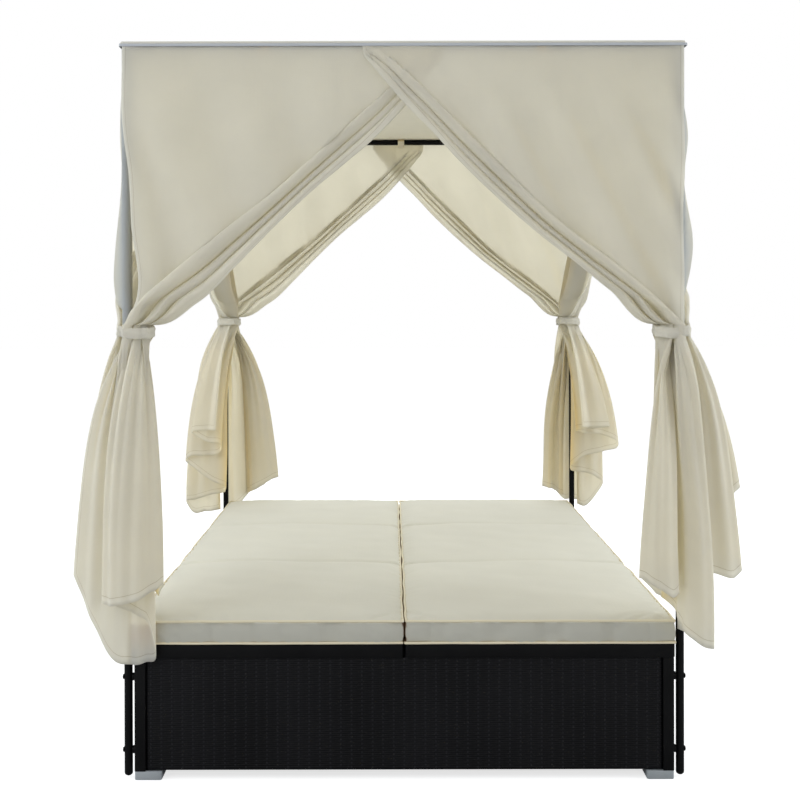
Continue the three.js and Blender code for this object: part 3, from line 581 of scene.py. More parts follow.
print("an upper part is a grid of", UPPER_ROWS, "by", COLUMNS, "points")

# %% [markdown]
# Below the tie the cloth is free. It springs back out of the bundle, most of the way within a hand's
# breadth or two, and then falls straight, in a few broad folds with a hollow between them. Each tail
# is set down as the folded line that its hem draws when looked at from below: for some places across
# the cloth, how far that place lies inwards from the post, how far out from the frame, and how far
# below the tie it ends. A smooth curve joins those places, and every thread runs from the bundle to
# its own place on that line. The four corners of the photographed bed hang differently, so each has
# its own lines.

# %% The tails below the ties
SPRING = 0.24  # the height in metres in which most of the spreading is done
TIE_GRIP = 30 * MM
WRAP_SHARE = 0.042  # the part of a side curtain that is turned round its post
WRAP_ANGLE = 200  # degrees
WRAP_RADIUS = 12.6 * MM
SIDE_HEM_SCALE = 2.2  # the hems along the sides are narrower than the one at the foot by this much
TAIL_FOLD = 6.5 * MM
LOOSE_ROLL = 4.0 * MM

# Each row: inwards from the post, out from the frame, length below the tie, in millimetres.
TAIL_LINES = {
    ("front_left", "end"): [
        (-132, 40, 642), (-112, 46, 690), (-76, 54, 770), (-30, 48, 856), (14, 42, 874), (52, 46, 868),
        (80, 48, 850), (66, 62, 770), (44, 68, 745), (2, 68, 725), (-34, 62, 712), (-48, 84, 704),
        (-30, 108, 706), (4, 130, 700), (48, 138, 688), (90, 120, 664), (104, 88, 655), (84, 50, 690),
        (60, 86, 560), (28, 60, 500),
    ],
    ("front_left", "side"): [
        (-4, 24, 690), (8, 70, 700), (18, 116, 670), (34, 126, 640), (46, 90, 640), (54, 20, 640),
        (68, 14, 640), (82, 60, 640), (90, 116, 600), (104, 126, 580), (118, 88, 560), (126, 16, 520),
        (140, 12, 500), (154, 60, 480), (164, 112, 470), (180, 118, 460), (194, 60, 450), (204, 10, 450),
        (220, 20, 450), (230, 90, 450),
    ],
    ("front_right", "end"): [
        (6, 22, 790), (-34, 28, 806), (-64, 46, 822), (-62, 84, 822), (-26, 112, 808), (12, 92, 776),
        (20, 24, 730), (40, 20, 712), (64, 56, 690), (110, 80, 646), (120, 108, 638), (84, 140, 658),
        (44, 128, 684), (26, 76, 640), (40, 24, 580), (70, 22, 540), (92, 50, 510),
    ],
    ("front_right", "side"): [
        (-4, 24, 640), (8, 90, 652), (18, 148, 664), (34, 164, 650), (48, 120, 636), (56, 42, 610),
        (70, 16, 580), (84, 62, 550), (90, 128, 500), (98, 172, 450), (114, 182, 440), (126, 140, 450),
        (132, 50, 470), (144, 14, 490), (160, 60, 480), (168, 116, 450), (184, 128, 440), (196, 80, 440),
        (204, 16, 440), (218, 16, 450),
    ],
    ("back_left", "end"): [
        (-6, 26, 790), (34, 42, 792), (60, 76, 770), (84, 92, 742), (108, 24, 720), (150, 22, 700),
        (206, 52, 672), (208, 84, 676), (160, 114, 696), (128, 66, 720), (104, 46, 730), (76, 112, 742),
        (104, 140, 704), (150, 138, 690), (184, 110, 600), (140, 80, 520), (100, 88, 500),
    ],
    ("back_left", "side"): [
        (-4, 24, 800), (8, 84, 806), (20, 142, 800), (36, 158, 764), (52, 118, 750), (60, 54, 730),
        (66, -12, 712), (80, -16, 700), (92, 40, 670), (98, 110, 620), (108, 154, 580), (122, 136, 566),
        (130, 66, 560), (136, 0, 540), (150, -4, 520), (162, 58, 500), (172, 104, 470), (186, 112, 460),
        (198, 60, 450), (206, 10, 450),
    ],
    ("back_right", "end"): [
        (-2, 26, 760), (30, 42, 762), (60, 60, 730), (96, 36, 716), (114, 60, 712), (104, 98, 716),
        (66, 112, 734), (44, 44, 742), (24, 38, 750), (4, 104, 762), (-34, 130, 780), (-58, 104, 780),
        (-44, 60, 700), (0, 70, 600), (40, 100, 530), (70, 84, 500),
    ],
    ("back_right", "side"): [
        (-4, 24, 780), (8, 56, 786), (18, 104, 736), (32, 126, 690), (48, 96, 660), (58, 40, 640),
        (64, -12, 630), (78, -18, 620), (90, 20, 580), (94, 110, 550), (104, 174, 526), (120, 168, 510),
        (128, 110, 480), (134, 30, 470), (148, -2, 460), (160, 56, 450), (172, 110, 444), (188, 118, 440),
        (200, 60, 440), (208, 8, 440),
    ],
}
# The soft folds of the upper parts: how they lean, how far apart, where they start and how deep.
FOLD_STYLE = {
    corner: dict(soft_slant=slant, soft_spacing=spacing, soft_phase=phase, soft_height=height, seed=seed)
    for corner, slant, spacing, phase, height, seed in (
        ("front_left", -0.35, 0.21, 0.1, 20 * MM, 3),
        ("front_right", 0.5, 0.155, 0.35, 18 * MM, 5),
        ("back_left", -0.3, 0.2, 0.6, 18 * MM, 8),
        ("back_right", 0.4, 0.18, 0.2, 18 * MM, 13),
    )
}
print("hem lines:", len(TAIL_LINES), "with", sum(map(len, TAIL_LINES.values())), "places in all")

# %% [markdown]
# A thread leaves the bundle fast and then slower and slower, as an exponential does, until it reaches
# its place on the hem line. Small folds and a slow roll are laid over that, so that no tail is as
# smooth as its formula. Two more things are worked out here. Cloth deep in a fold is lit through
# other cloth and looks warmer, so each point is told how deep it lies, and the material paints that
# colour in as painted bounce light. And the edge of a side curtain is turned round its post, which is
# why a strip of it shows in front.

# %% The shape of a tail
def tail_grid(line, bundle_h, bundle_n, seed):
    """h, n and z below the tie, and the length run below it, a row for each step down."""
    u = across(COLUMNS)
    hem = spline(by_length(line)[0], u)
    share = np.linspace(0, 1, TAIL_ROWS)[1:, None] ** 1.15
    down = share * hem[:, 2] * MM
    free = np.maximum(0, down - TIE_GRIP)
    full = hem[:, 2] * MM - TIE_GRIP
    out = (1 - np.exp(-free / SPRING)) / (1 - np.exp(-full / SPRING))
    h = mix(bundle_h, hem[:, 0] * MM, out)
    n = mix(bundle_n, hem[:, 1] * MM, out)
    along = np.gradient(hem[:, 0]), np.gradient(hem[:, 1])
    steep = np.maximum(np.hypot(*along), 1e-6)
    turns = 2 * math.pi * (u[:, None] * [11, 17.3, 29] + np.array([0.37, 0.61, 0.2]) * seed)
    low, middle, fine = np.sin(turns).T
    waves = 0.6 * low + 0.55 * middle + 0.35 * fine * np.exp(-free / 0.2)
    fold = TAIL_FOLD * waves * smooth(0, 60 * MM, free) * mix(1, 0.5, smooth(0.15, 0.6, down))
    h = h - fold * along[1] / steep
    n = n + fold * along[0] / steep
    loose = LOOSE_ROLL * smooth(60 * MM, 200 * MM, down)
    n = n + loose * soft_noise(np.broadcast_to(u * 3, down.shape), down * 1.3, seed)
    h = h + loose * soft_noise(np.broadcast_to(u * 2.5, down.shape), down * 1.6, seed + 1)
    return h, n, -GATHER_DROP - down, down


def blurred(values, reach):
    """values averaged across the cloth with a bell curve, reach columns wide each way."""
    bell = np.exp(-0.5 * (np.arange(-reach, reach + 1) / (reach * 0.45)) ** 2)
    padded = np.pad(values, ((0, 0), (reach, reach)), mode="edge")
    return sum(w * padded[:, k : k + values.shape[1]] for k, w in enumerate(bell / bell.sum()))


def hollow_of(n, z, least_below):
    """From 0 on open cloth to 1 deep in a fold, for painted bounce light; below the tie some is painted
    all over.
    """
    narrow = np.clip((blurred(n, 14) - n - 3 * MM) / (11 * MM), 0, 1)
    broad = np.clip((blurred(n, 36) - n - 12 * MM) / (40 * MM), 0, 1)
    below_tie = 1 - smooth(-GATHER_DROP - 0.2, -GATHER_DROP + 0.05, z)
    hollow = np.maximum(narrow, 0.8 * broad) * mix(0.4, 0.8, below_tie)
    return np.maximum(hollow, below_tie * least_below)


def wrap_post(h, n, z, u):
    """Turns the first finger's width of a side curtain round the front of its post, down to the tie."""
    angle = (1 - np.clip(u / WRAP_SHARE, 0, 1)) * math.radians(WRAP_ANGLE)
    held = smooth(-GATHER_DROP - TIE_GRIP - 0.12, -GATHER_DROP - TIE_GRIP, z)
    turned = held * (angle > 0)
    h = mix(h, -WRAP_RADIUS * np.sin(angle), turned)
    n = mix(n, WRAP_RADIUS * np.cos(angle), turned)
    # The last value marks where the post lies behind the cloth, for its painted shade.
    at_post = 1 - smooth(0.9 * WRAP_SHARE, 1.15 * WRAP_SHARE, u)
    return h, n, at_post * held * (z > -GATHER_DROP - 2 * TIE_GRIP)


print("a tail is a grid of", TAIL_ROWS, "by", COLUMNS, "points, spread within", SPRING, "m of the tie")

# %% [markdown]
# Upper part and tail are joined at the tie into one grid, which becomes one mesh and is given the
# thickness of its cloth. Its UV is the flat sheet in metres, so that the weave follows the threads.
# The same function makes all eight curtains: only their side, reach, folds and hem lines differ.

# %% The eight curtains
def make_curtain(corner, sx, sy, kind):
    """A whole curtain: the upper part, the tail, and what its material has to know of each point."""
    at_end = kind == "end"
    c = dict(
        FOLD_STYLE[corner],
        reach=REACH[kind],
        width=CUT[kind][0],
        over=float(sx > 0 if at_end else sy < 0),
        drift=40 * MM if at_end and corner == "front_left" else 3 * MM,
        lean="left" if sx < 0 else "right",
        pinch=1.5 if not at_end else 1.0 if sy < 0 else 0.75,
        clear=3.5 * MM if at_end else 0.0,
        bulge=0.0 if at_end else 18 * MM,
    )
    upper = upper_grid(c)
    tail = tail_grid(TAIL_LINES[corner, kind], upper[0][-1], upper[1][-1], c["seed"] + 20)
    h, n, z = (np.vstack(part) for part in zip(upper[:3], tail[:3]))
    down = np.vstack([upper[3], upper[3][-1] + tail[3]])
    u = np.broadcast_to(across(COLUMNS), h.shape)
    if at_end:
        behind = np.zeros(h.shape)
    else:
        h, n, behind = wrap_post(h, n, z, u)
    # How deep each point lies, for the painted bounce light; the back tails take more of it all over.
    hollow = hollow_of(n, z, 0.03 if sy < 0 else 0.12)
    across_x, across_y = (-h, n) if at_end else (n, -h)
    grid = np.stack([sx * (post_x + across_x), sy * (post_y + across_y), rail_z + z], -1)
    edge = np.minimum(np.minimum(u, 1 - u) * c["width"] * SIDE_HEM_SCALE, down[-1] - down)
    uv = np.stack([u * c["width"], down], -1)
    if (sx * sy > 0) == at_end:
        grid, uv, edge, hollow, behind = (part[:, ::-1] for part in (grid, uv, edge, hollow, behind))
    obj = grid_object(f"curtain_{corner}_{kind}_cloth", grid, uv, CLOTH)
    share = sum(face.area for face in obj.data.polygons) / (CUT[kind][0] * CUT[kind][1])
    for name, values in (("hem_distance", edge), ("hollow", hollow), ("post_behind", behind)):
        add_attribute(obj.data, name, values)
    apply_modifiers(obj)
    paint(obj, curtain_polyester)
    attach(obj, "base")
    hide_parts(f"curtain_{corner}_{kind}")
    print(f"{obj.name}: {share:.2f} of its flat area shows")
    return obj


curtains = [make_curtain(corner, sx, sy, kind) for corner, sx, sy in CORNERS for kind in ("end", "side")]
print("curtains:", len(curtains))

# %% [markdown]
# Each corner is tied with a strip of the curtain's own cloth, 28 mm wide, wound once round the post
# and both curtains. A plain ring would look like a clamp. A strip creases as it is pulled tight, so
# its middle line wobbles a little up and down, and its face ripples as it passes over the folds.

# %% Tie strips
TIE_SIDES = 140
TIE_ROWS = 9
TIE_SQUARENESS = 0.62  # 1 would be an oval; less is squarer
TIE_CLOTH = 1.6 * MM
TIE_PHASE = {"front_left": 0.4, "front_right": 2.1, "back_left": 3.9, "back_right": 5.2}


def tie_ring(corner):
    """Points round the bundle, inside the room that the frame gives the tie."""
    low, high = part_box(f"tie_{corner}")
    phase = TIE_PHASE[corner]
    middle = (np.array(low) + np.array(high)) / 2
    half = (np.array(high) - np.array(low)) / 2 - 1 * MM
    angle = np.linspace(0, 2 * math.pi, TIE_SIDES, endpoint=False)
    x = np.sign(np.cos(angle)) * np.abs(np.cos(angle)) ** TIE_SQUARENESS
    y = np.sign(np.sin(angle)) * np.abs(np.sin(angle)) ** TIE_SQUARENESS
    ripple = 1 + 0.03 * np.sin(7 * angle + phase) + 0.02 * np.sin(12 * angle - phase)
    t = (np.arange(TIE_ROWS) / (TIE_ROWS - 1))[:, None]
    bulge = 1 - 0.05 * abs(2 * t - 1) ** 3 + 0.02 * np.sin(3 * math.pi * t + 3 * angle + phase)
    wobble = 2.5 * MM * np.sin(2 * angle + phase) + 1.5 * MM * np.sin(5 * angle)
    z = middle[2] + (2 * t - 1) * (tie_height / 2) + wobble
    return np.stack([
        middle[0] + half[0] * x * ripple * bulge, middle[1] + half[1] * y * ripple * bulge, z,
    ], -1)


def make_tie(corner):
    ring = tie_ring(corner)
    steps = np.linalg.norm(np.diff(ring[TIE_ROWS // 2], axis=0), axis=1)
    around = np.concatenate([[0], np.cumsum(steps)])
    uv = np.stack(np.meshgrid(around, np.linspace(0, tie_height, TIE_ROWS)), -1)
    strip = grid_object(f"tie_{corner}_strip", ring, uv, TIE_CLOTH, round_columns=True)
    apply_modifiers(strip)
    paint(strip, curtain_polyester)
    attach(strip, "base")
    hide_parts(f"tie_{corner}")
    return strip


ties = [make_tie(corner) for corner, *_ in CORNERS]
print("ties:", len(ties))

# %% [markdown]
# The roof is one sheet of the same cloth, laid over the four rails, with a narrow grey-blue binding
# sewn along its edge. Between the rails it hangs a little. Cloth that is held on all four sides sags
# as a shallow dish, which two arches give when they are multiplied, and a gentle unevenness adds the
# pulls in it.

# %% Roof cloth and its binding
ROOF_SAG = 9 * MM
ROOF_HEM = 13 * MM
ROOF_CLOTH = 1.4 * MM
ROOF_COUNTS = (90, 120)  # points across and along
ROOF_EDGE = 9 * MM  # how round the cloth turns over the rails
OVER_RAIL = 2.3 * MM  # how far the roof lies over the rails, which have the loops round them
EDGE_INSET = 2.2 * MM
TAPE = 1.2 * MM


def roof_height(x, y):
    """Level over the rails and the loops on them, and a shallow dish inside."""
    across_bed = np.cos(np.clip(x / (2 * post_x), -0.5, 0.5) * math.pi)
    along_bed = np.cos(np.clip(y / (2 * post_y), -0.5, 0.5) * math.pi)
    dish = np.sqrt(np.maximum(0, across_bed * along_bed))
    between_rails = smooth(6 * MM, 90 * MM, np.minimum(post_x - np.abs(x), post_y - np.abs(y)))
    pulls = 1.2 * MM * soft_noise(x * 2.2, y * 2.2, 31) * dish
    return rail_z + rail_radius + OVER_RAIL - (ROOF_SAG * dish - pulls) * between_rails


def crowded(count):
    """Places from -1 to 1, closer together towards both ends."""
    even = np.linspace(-1, 1, count)
    return np.sign(even) * (1 - (1 - np.abs(even)) ** 1.3)


def roof_top():
    edge = np.array([roof_high.x, roof_high.y]) - EDGE_INSET
    gx, gy = np.meshgrid(*(crowded(count) * far for count, far in zip(ROOF_COUNTS, edge)))
    inset = np.minimum(edge[0] - np.abs(gx), edge[1] - np.abs(gy))
    drop = ROOF_EDGE * (1 - np.sqrt(np.clip(1 - (1 - np.clip(inset / ROOF_EDGE, 0, 1)) ** 2, 0, 1)))
    return np.stack([gx, gy, roof_height(gx, gy) - drop], -1)


def make_binding(top):
    """A tape that hangs from the roof's edge, rippled as a sewn edge is."""
    count_x, count_y = ROOF_COUNTS
    ring = top.reshape(-1, 3)[rim(count_y, count_x)]
    sides = ([0, -1, 0], [1, 0, 0], [0, 1, 0], [-1, 0, 0])
    outward = np.repeat(sides, [count_x - 1, count_y - 1] * 2, axis=0)
    length = np.concatenate([[0], np.cumsum(np.linalg.norm(np.diff(ring, axis=0), axis=1))])
    ripple = 0.8 * MM * np.sin(length * 40) + 0.5 * MM * np.sin(length * 93 + 1)
    steps = np.linspace(0, 1, 6)
    rows = []
    for t in steps:
        row = ring + outward * (ripple * t + 0.9 * MM)[:, None]
        row[:, 2] += 1.5 * MM - t * (ROOF_HEM - 6 * MM)
        rows.append(row)
    uv = np.stack(np.meshgrid(length, steps * ROOF_HEM), -1)
    return grid_object("roof_binding", np.array(rows), uv, TAPE, round_columns=True)


# The binding's colours run from its own grey-blue to painted shade where it is closed in.
binding_tape = cloth_material("binding_tape", ["#c6cacf", "#b4b7b9", "#989896"], 60 * MM)
top = roof_top()
roof = grid_object("roof_cloth_sheet", top, top[..., :2], ROOF_CLOTH)
roof_binding = make_binding(top)
for obj, material in ((roof, roof_polyester), (roof_binding, binding_tape)):
    apply_modifiers(obj)
    paint(obj, material)
    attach(obj, "base")
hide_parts("roof_cloth")
print("roof:", roof.name, "and", roof_binding.name)

# %% [markdown]
# Cloth loops hold the curtains to the rails: short sleeves of the same cloth, 26 mm wide, sewn shut
# just below the rail. One shows on the back rail, where the back curtains part. Each sleeve here is
# a flattened ring of cloth that closes to a seam underneath and ends in a small tab.

# %% Rail loops
LOOP_WIDTH = 26 * MM
LOOP_CLOTH = 0.9 * MM
LOOP_STEPS = 6
LOOP_PLACES = {
    "front": (-0.36, 0.36),
    "back": (-0.36, 0.012, 0.36),
    "left": (-0.5, 0.5),
    "right": (-0.5, 0.5),
}


def make_loops(rail):
    """All the loops on one rail, as one piece."""
    low, high = (np.array(corner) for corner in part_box(f"rail_{rail}"))
    middle = (low + high) / 2
    radius = (high[2] - low[2]) / 2 + 0.8 * MM
    angle = np.linspace(math.radians(-75), math.radians(255), 34)
    ring = np.stack([np.cos(angle), np.sin(angle)], -1) * radius
    seam = np.array([[-0.9 * MM, -radius - 3 * MM], [-0.8 * MM, -radius - 9 * MM]])
    profile = np.vstack([seam[::-1] * [-1, 1], ring, seam])
    along_x = rail in ("front", "back")
    points, faces = [], []
    for place in LOOP_PLACES[rail]:
        faces += (grid_faces(LOOP_STEPS, len(profile)) + len(points)).tolist()
        for t in np.linspace(-0.5, 0.5, LOOP_STEPS):
            out, up = profile.T * (1 + 0.05 * (2 * t) ** 2)
            shift = np.full(len(out), place + t * LOOP_WIDTH)
            x, y = (shift, middle[1] + out) if along_x else (middle[0] + out, shift)
            points += np.stack([x, y, middle[2] + up], -1).tolist()
    obj = new_mesh(f"loops_{rail}", points, faces)
    thicken(obj, LOOP_CLOTH)
    apply_modifiers(obj)
    paint(obj, loop_polyester)
    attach(obj, "base")
    return obj


# The loops' colours run from open cloth to painted shade where they are closed in round the rail.
loop_polyester = cloth_material(
    "loop_polyester", ["#e8dfc9", "#dccfa9", "#c7a97a"], 25 * MM, flat_cut=False
)
loops = [make_loops(rail) for rail in LOOP_PLACES]
print("loops:", [o.name for o in loops])

# %% [markdown]
# Each lounger has one long cushion, a foam slab in a sewn cover with piping round its top and bottom
# edges. Foam pushes the cover out, and the seams hold it in, so the top crowns, the sides bulge
# a little and the corners stay low. Two creases run across it, one in the seat and one over the
# hinge. A formula gives the firm slab: it falls off towards each seam and dips at each crease. A cloth
# simulation then inflates the cover by a few millimetres, with the seams and the underside held, which
# adds the swell and the slack between them that a formula would have to guess at.

# %% Cushion shape
CREASES = (-0.2927, 0.380)
CUSHION_GAP = 5.0 * MM
CUSHION_COUNTS = (72, 150)  # points across and along
SIDE_STEPS = 9
INFLATE_CAP = 6 * MM
INFLATE_FRAMES = 20
PIPING_RADIUS = 3.1 * MM


def edge_spacing(low, high, count):
    """Places from low to high, closer together towards both ends."""
    t = np.linspace(-1, 1, count)
    t = np.sign(t) * (1 - (1 - np.abs(t)) ** 1.6)
    return (low + high) / 2 + t * (high - low) / 2


def edge_distance(x, y, low, high):
    return np.minimum(np.minimum(x - low[0], high[0] - x), np.minimum(y - low[1], high[1] - y))


def cushion_top(x, y, low, high, seed):
    """How far the cover stands below its highest level."""
    edge = edge_distance(x, y, low, high)
    fall = 7 * MM * np.exp(-edge / (24 * MM))
    crown = 4.5 * MM * (1 - np.clip(edge / 0.3, 0, 1) ** 0.8)
    crease = sum(np.exp(-(((y - c) / (15 * MM)) ** 2)) * 3 * MM for c in CREASES)
    shoulder = sum(np.exp(-(((y - c) / (75 * MM)) ** 2)) * 3 * MM for c in CREASES)
    pulls = 1.6 * MM * soft_noise(x * 2.6, y * 1.7, seed) + 0.8 * MM * soft_noise(x * 6, y * 5, seed + 1)
    return fall + crown + crease + shoulder + pulls * (1 - np.exp(-edge / 0.05))


print("creases at y", CREASES, "m from the middle")

# %% [markdown]
# Blender's cloth simulation can blow up a closed body with a pressure inside it. It runs on the pad
# as it is sewn: a vertex group holds the seams and the underside still and the creases half still,
# and twenty frames are enough for the rest to settle. The result is written back into the mesh, with
# each move held to the cap, so that the pad stays the size of the slab that the frame gives.

# %% Inflating a cover
def inflate(pad, held):
    """Pushes the cover out with a cloth simulation, where held is below 1, by at most the cap."""
    scene = bpy.context.scene
    group = pad.vertex_groups.new(name="sewn")
    for weight in np.unique(held[held > 0]):
        group.add(np.flatnonzero(held == weight).tolist(), float(weight), "REPLACE")
    cover = pad.modifiers.new("cover", "CLOTH")
    cover.point_cache.frame_start, cover.point_cache.frame_end = 1, INFLATE_FRAMES
    cloth = cover.settings
    cloth.quality = 4
    cloth.mass = 0.25
    cloth.tension_stiffness = cloth.compression_stiffness = 14
    cloth.bending_stiffness = 0.4
    cloth.vertex_group_mass = "sewn"
    cloth.shrink_min = -0.02
    cloth.use_pressure = True
    cloth.uniform_pressure_force = 4
    cloth.effector_weights.gravity = 0
    count = len(pad.data.vertices)
    before, after = np.empty(3 * count, np.float32), np.empty(3 * count, np.float32)
    pad.data.vertices.foreach_get("co", before)
    for frame_number in range(1, INFLATE_FRAMES + 1):
        scene.frame_set(frame_number)
    pad.evaluated_get(bpy.context.evaluated_depsgraph_get()).data.vertices.foreach_get("co", after)
    pad.modifiers.remove(cover)
    scene.frame_set(1)
    move = (after - before).reshape(-1, 3)
    length = np.linalg.norm(move, axis=1)
    far = np.maximum(length, 1e-9)
    move *= (INFLATE_CAP * np.tanh(far / INFLATE_CAP) / far)[:, None]
    pad.data.vertices.foreach_set("co", (before + move.ravel()).astype(np.float32))
    pad.data.update()
    print(f"{pad.name}: moved {1000 * np.median(length):.1f} mm, at most {1000 * length.max():.1f}")


print("a cover may swell by", 1000 * INFLATE_CAP, "mm")

# %% [markdown]
# The pad is one closed body: an upper face, an underside, and a strip between them that a maker calls
# the boxing. Piping is a cord sewn into the seam, and no seam runs straight, so it wanders by a
# millimetre. Each pad runs in one piece from the seat to the top of its backrest, over the fold.

# %% Covers and piping
def cushion_grids(low, high, seed):
    """The upper and the lower face of a cushion as grids of points, with rows close at the creases."""
    count_x, count_y = CUSHION_COUNTS
    x = edge_spacing(low[0], high[0], count_x)
    at_creases = [c + np.linspace(-32, 32, 13) * MM for c in CREASES]
    y = np.unique(np.concatenate([edge_spacing(low[1], high[1], count_y), *at_creases]))
    gx, gy = np.meshgrid(x, y)
    top = high[2] + 2.5 * MM - cushion_top(gx, gy, low, high, seed)
    bottom = low[2] + 1.0 * MM + 2.0 * MM * np.exp(-edge_distance(gx, gy, low, high) / 0.02)
    return np.stack([gx, gy, top], -1), np.stack([gx, gy, bottom], -1)


def outward_of(points, low, high):
    """The way out of the cushion, level, for points round its edge."""
    out = np.zeros_like(points)
    for axis in (0, 1):
        for wall, way in ((low, -1), (high, 1)):
            out[:, axis] += way * np.isclose(points[:, axis], wall[axis])
    return out / np.maximum(1, np.linalg.norm(out, axis=1))[:, None]


def make_cushion(side_name, sx, seed):
    low = np.array(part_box(f"seat_cushion_{side_name}")[0])
    high = np.array(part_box(f"back_cushion_{side_name}")[1])
    low[0] += CUSHION_GAP / 2 if sx > 0 else 0
    high[0] -= CUSHION_GAP / 2 if sx < 0 else 0
    top, bottom = cushion_grids(low, high, seed)
    rows, columns = top.shape[:2]
    count = rows * columns
    edge = rim(rows, columns)
    upper, lower = top.reshape(-1, 3)[edge], bottom.reshape(-1, 3)[edge]
    out = outward_of(upper, low, high)
    swell = 1 + 0.4 * soft_noise(upper[:, 0] * 4, upper[:, 1] * 4, seed + 5)
    points = [top.reshape(-1, 3), bottom.reshape(-1, 3)]
    rings = [edge]
    for k in range(1, SIDE_STEPS):
        t = k / SIDE_STEPS
        bulge = 3.2 * MM * math.sin(math.pi * t) ** 0.7 * swell
        points.append(mix(upper, lower, t) + out * (bulge - 2.5 * MM)[:, None])
        rings.append(2 * count + (k - 1) * len(edge) + np.arange(len(edge)))
    rings.append(count + edge)
    flat_faces = grid_faces(rows, columns)
    faces = [flat_faces, flat_faces[:, ::-1] + count]
    for a, b in zip(rings, rings[1:]):
        faces.append(np.stack([a, b, np.roll(b, -1), np.roll(a, -1)], -1))
    points = np.concatenate(points)
    pad = new_mesh(f"cushion_{side_name}_pad", points, np.concatenate(faces))
    held = np.zeros(len(points))
    creased = sum(np.exp(-(((top[..., 1] - c) / (7 * MM)) ** 2)) for c in CREASES)
    held[:count] = np.round(0.4 * np.clip(creased, 0, 1), 1).ravel()
    held[count : 2 * count] = 1
    held[edge] = 1
    inflate(pad, held)
    paint(pad, cushion_polyester)
    # The boxing is marked so that the material paints it in shade.
    add_attribute(pad.data, "boxing", np.arange(len(points)) >= 2 * count)
    wander = 1.1 * MM * soft_noise(upper[:, 0] * 5 + seed, upper[:, 1] * 5, seed + 9)[:, None]
    top_line = upper + out * (wander - 0.2 * MM) + np.array([0, 0, 0.2 * MM])
    low_line = lower + out * (0.4 * MM - wander) + np.array([0, 0, 1.8 * MM])
    pieces = [pad]
    for name, line in (("top", top_line), ("bottom", low_line)):
        pieces.append(closed_cord(f"cushion_{side_name}_{name}_piping", line, PIPING_RADIUS, 10))
        paint(pieces[-1], piping_polyester)
    for piece in pieces:
        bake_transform(piece)
    sections = ("seat_cushion", "cushion_fold", "back_cushion")
    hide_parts(*(f"{section}_{side_name}" for section in sections))
    return pieces


# Cover and piping colours run from open cloth to painted shade, darker and more orange, where they are
# closed in, as between the cushions.
cushion_polyester = cloth_material(
    "cushion_polyester", ["#e2dfd0", "#ddd3b6", "#c98f55"], 60 * MM, flat_cut=False
)
piping_polyester = cloth_material(
    "piping_polyester", ["#ece2c6", "#dfcfa4", "#b99a66"], 14 * MM, flat_cut=False
)
cushions = make_cushion("left", -1, 41) + make_cushion("right", 1, 47)
print("cushions:", [o.name for o in cushions])

# %% [markdown]
# The base is closed by four panels woven from flat black resin strand over upright strands, the
# stakes. Rows are 5.5 mm apart and stakes 27.5 mm. Each row passes over one stake and under the next,
# and the row above it does the opposite, so a stake shows as a column of short upright dashes. Strand
# by strand that would be thousands of ribbons. From outside, one surface that rises and dips with
# them shows the same, so each panel is a closed board whose outer face is the height of the uppermost
# strand. The decks under the cushions are woven the same way, with wider straps.

# %% Woven panels and decks
ROW_PITCH = 5.5 * MM
STAKE_PITCH = 27.5 * MM
STAKE_WIDTH = 8 * MM
DECK_ROW = 12 * MM
DECK_STAKE = 34 * MM
PANEL_RELIEF = 5 * MM
DECK_RELIEF = 3 * MM
PATCHES_PER_METRE = 9.0
PATCHINESS = 0.2  # how much the tone changes over a panel, next to 1 for a strand and its groove


def woven_height(a, b, row_pitch, stake_pitch, seed):
    """How high the weave stands at a along the rows and b across them, from 0 to about 1."""
    row = np.floor(b / row_pitch + 1e-6)
    t = 2 * (b / row_pitch - row) - 1
    stake = np.floor(a / stake_pitch)
    aside = a - (stake + 0.5) * stake_pitch
    strand = np.sqrt(np.clip(1 - 0.94 * t**2, 0, 1))
    lying = strand * (0.5 + 0.22 * np.exp(-((aside / (0.3 * stake_pitch)) ** 2)))
    upright = np.sqrt(np.clip(1 - (aside / (STAKE_WIDTH / 2)) ** 2, 0, 1)) * (0.75 + 0.25 * strand)
    on_top = ((row + stake) % 2 == 0) & (np.abs(aside) < STAKE_WIDTH / 2)
    return np.where(on_top, upright, lying) + 0.06 * soft_noise(a * 3, b * 3, seed)


def woven_grid(length, height, relief, pitches, seed):
    """Places along and across a board, how high the weave is there (0 to 1) and how that moves it."""
    rows, stakes = (int(round(size / pitch)) for size, pitch in zip((height, length), pitches))
    row_pitch, stake_pitch = height / rows, length / stakes
    b = (np.arange(rows)[:, None] + np.array([0.03, 0.3, 0.7])).ravel() * row_pitch
    b = np.concatenate([[0], b[1:], [height]])
    half_stake = STAKE_WIDTH / 2 / stake_pitch
    steps = 0.5 + half_stake * np.array([-1.1, -0.95, -0.45, 0.45, 0.95, 1.1])
    a = (np.arange(stakes)[:, None] + np.append(0, steps)).ravel() * stake_pitch
    a = np.append(a, length)
    ga, gb = np.meshgrid(a, b)
    margin = np.minimum(np.minimum(ga, length - ga), np.minimum(gb, height - gb))
    up = woven_height(ga, gb, row_pitch, stake_pitch, seed)
    return ga, gb, up, (up * smooth(-1 * MM, 5 * MM, margin) - 1) * relief


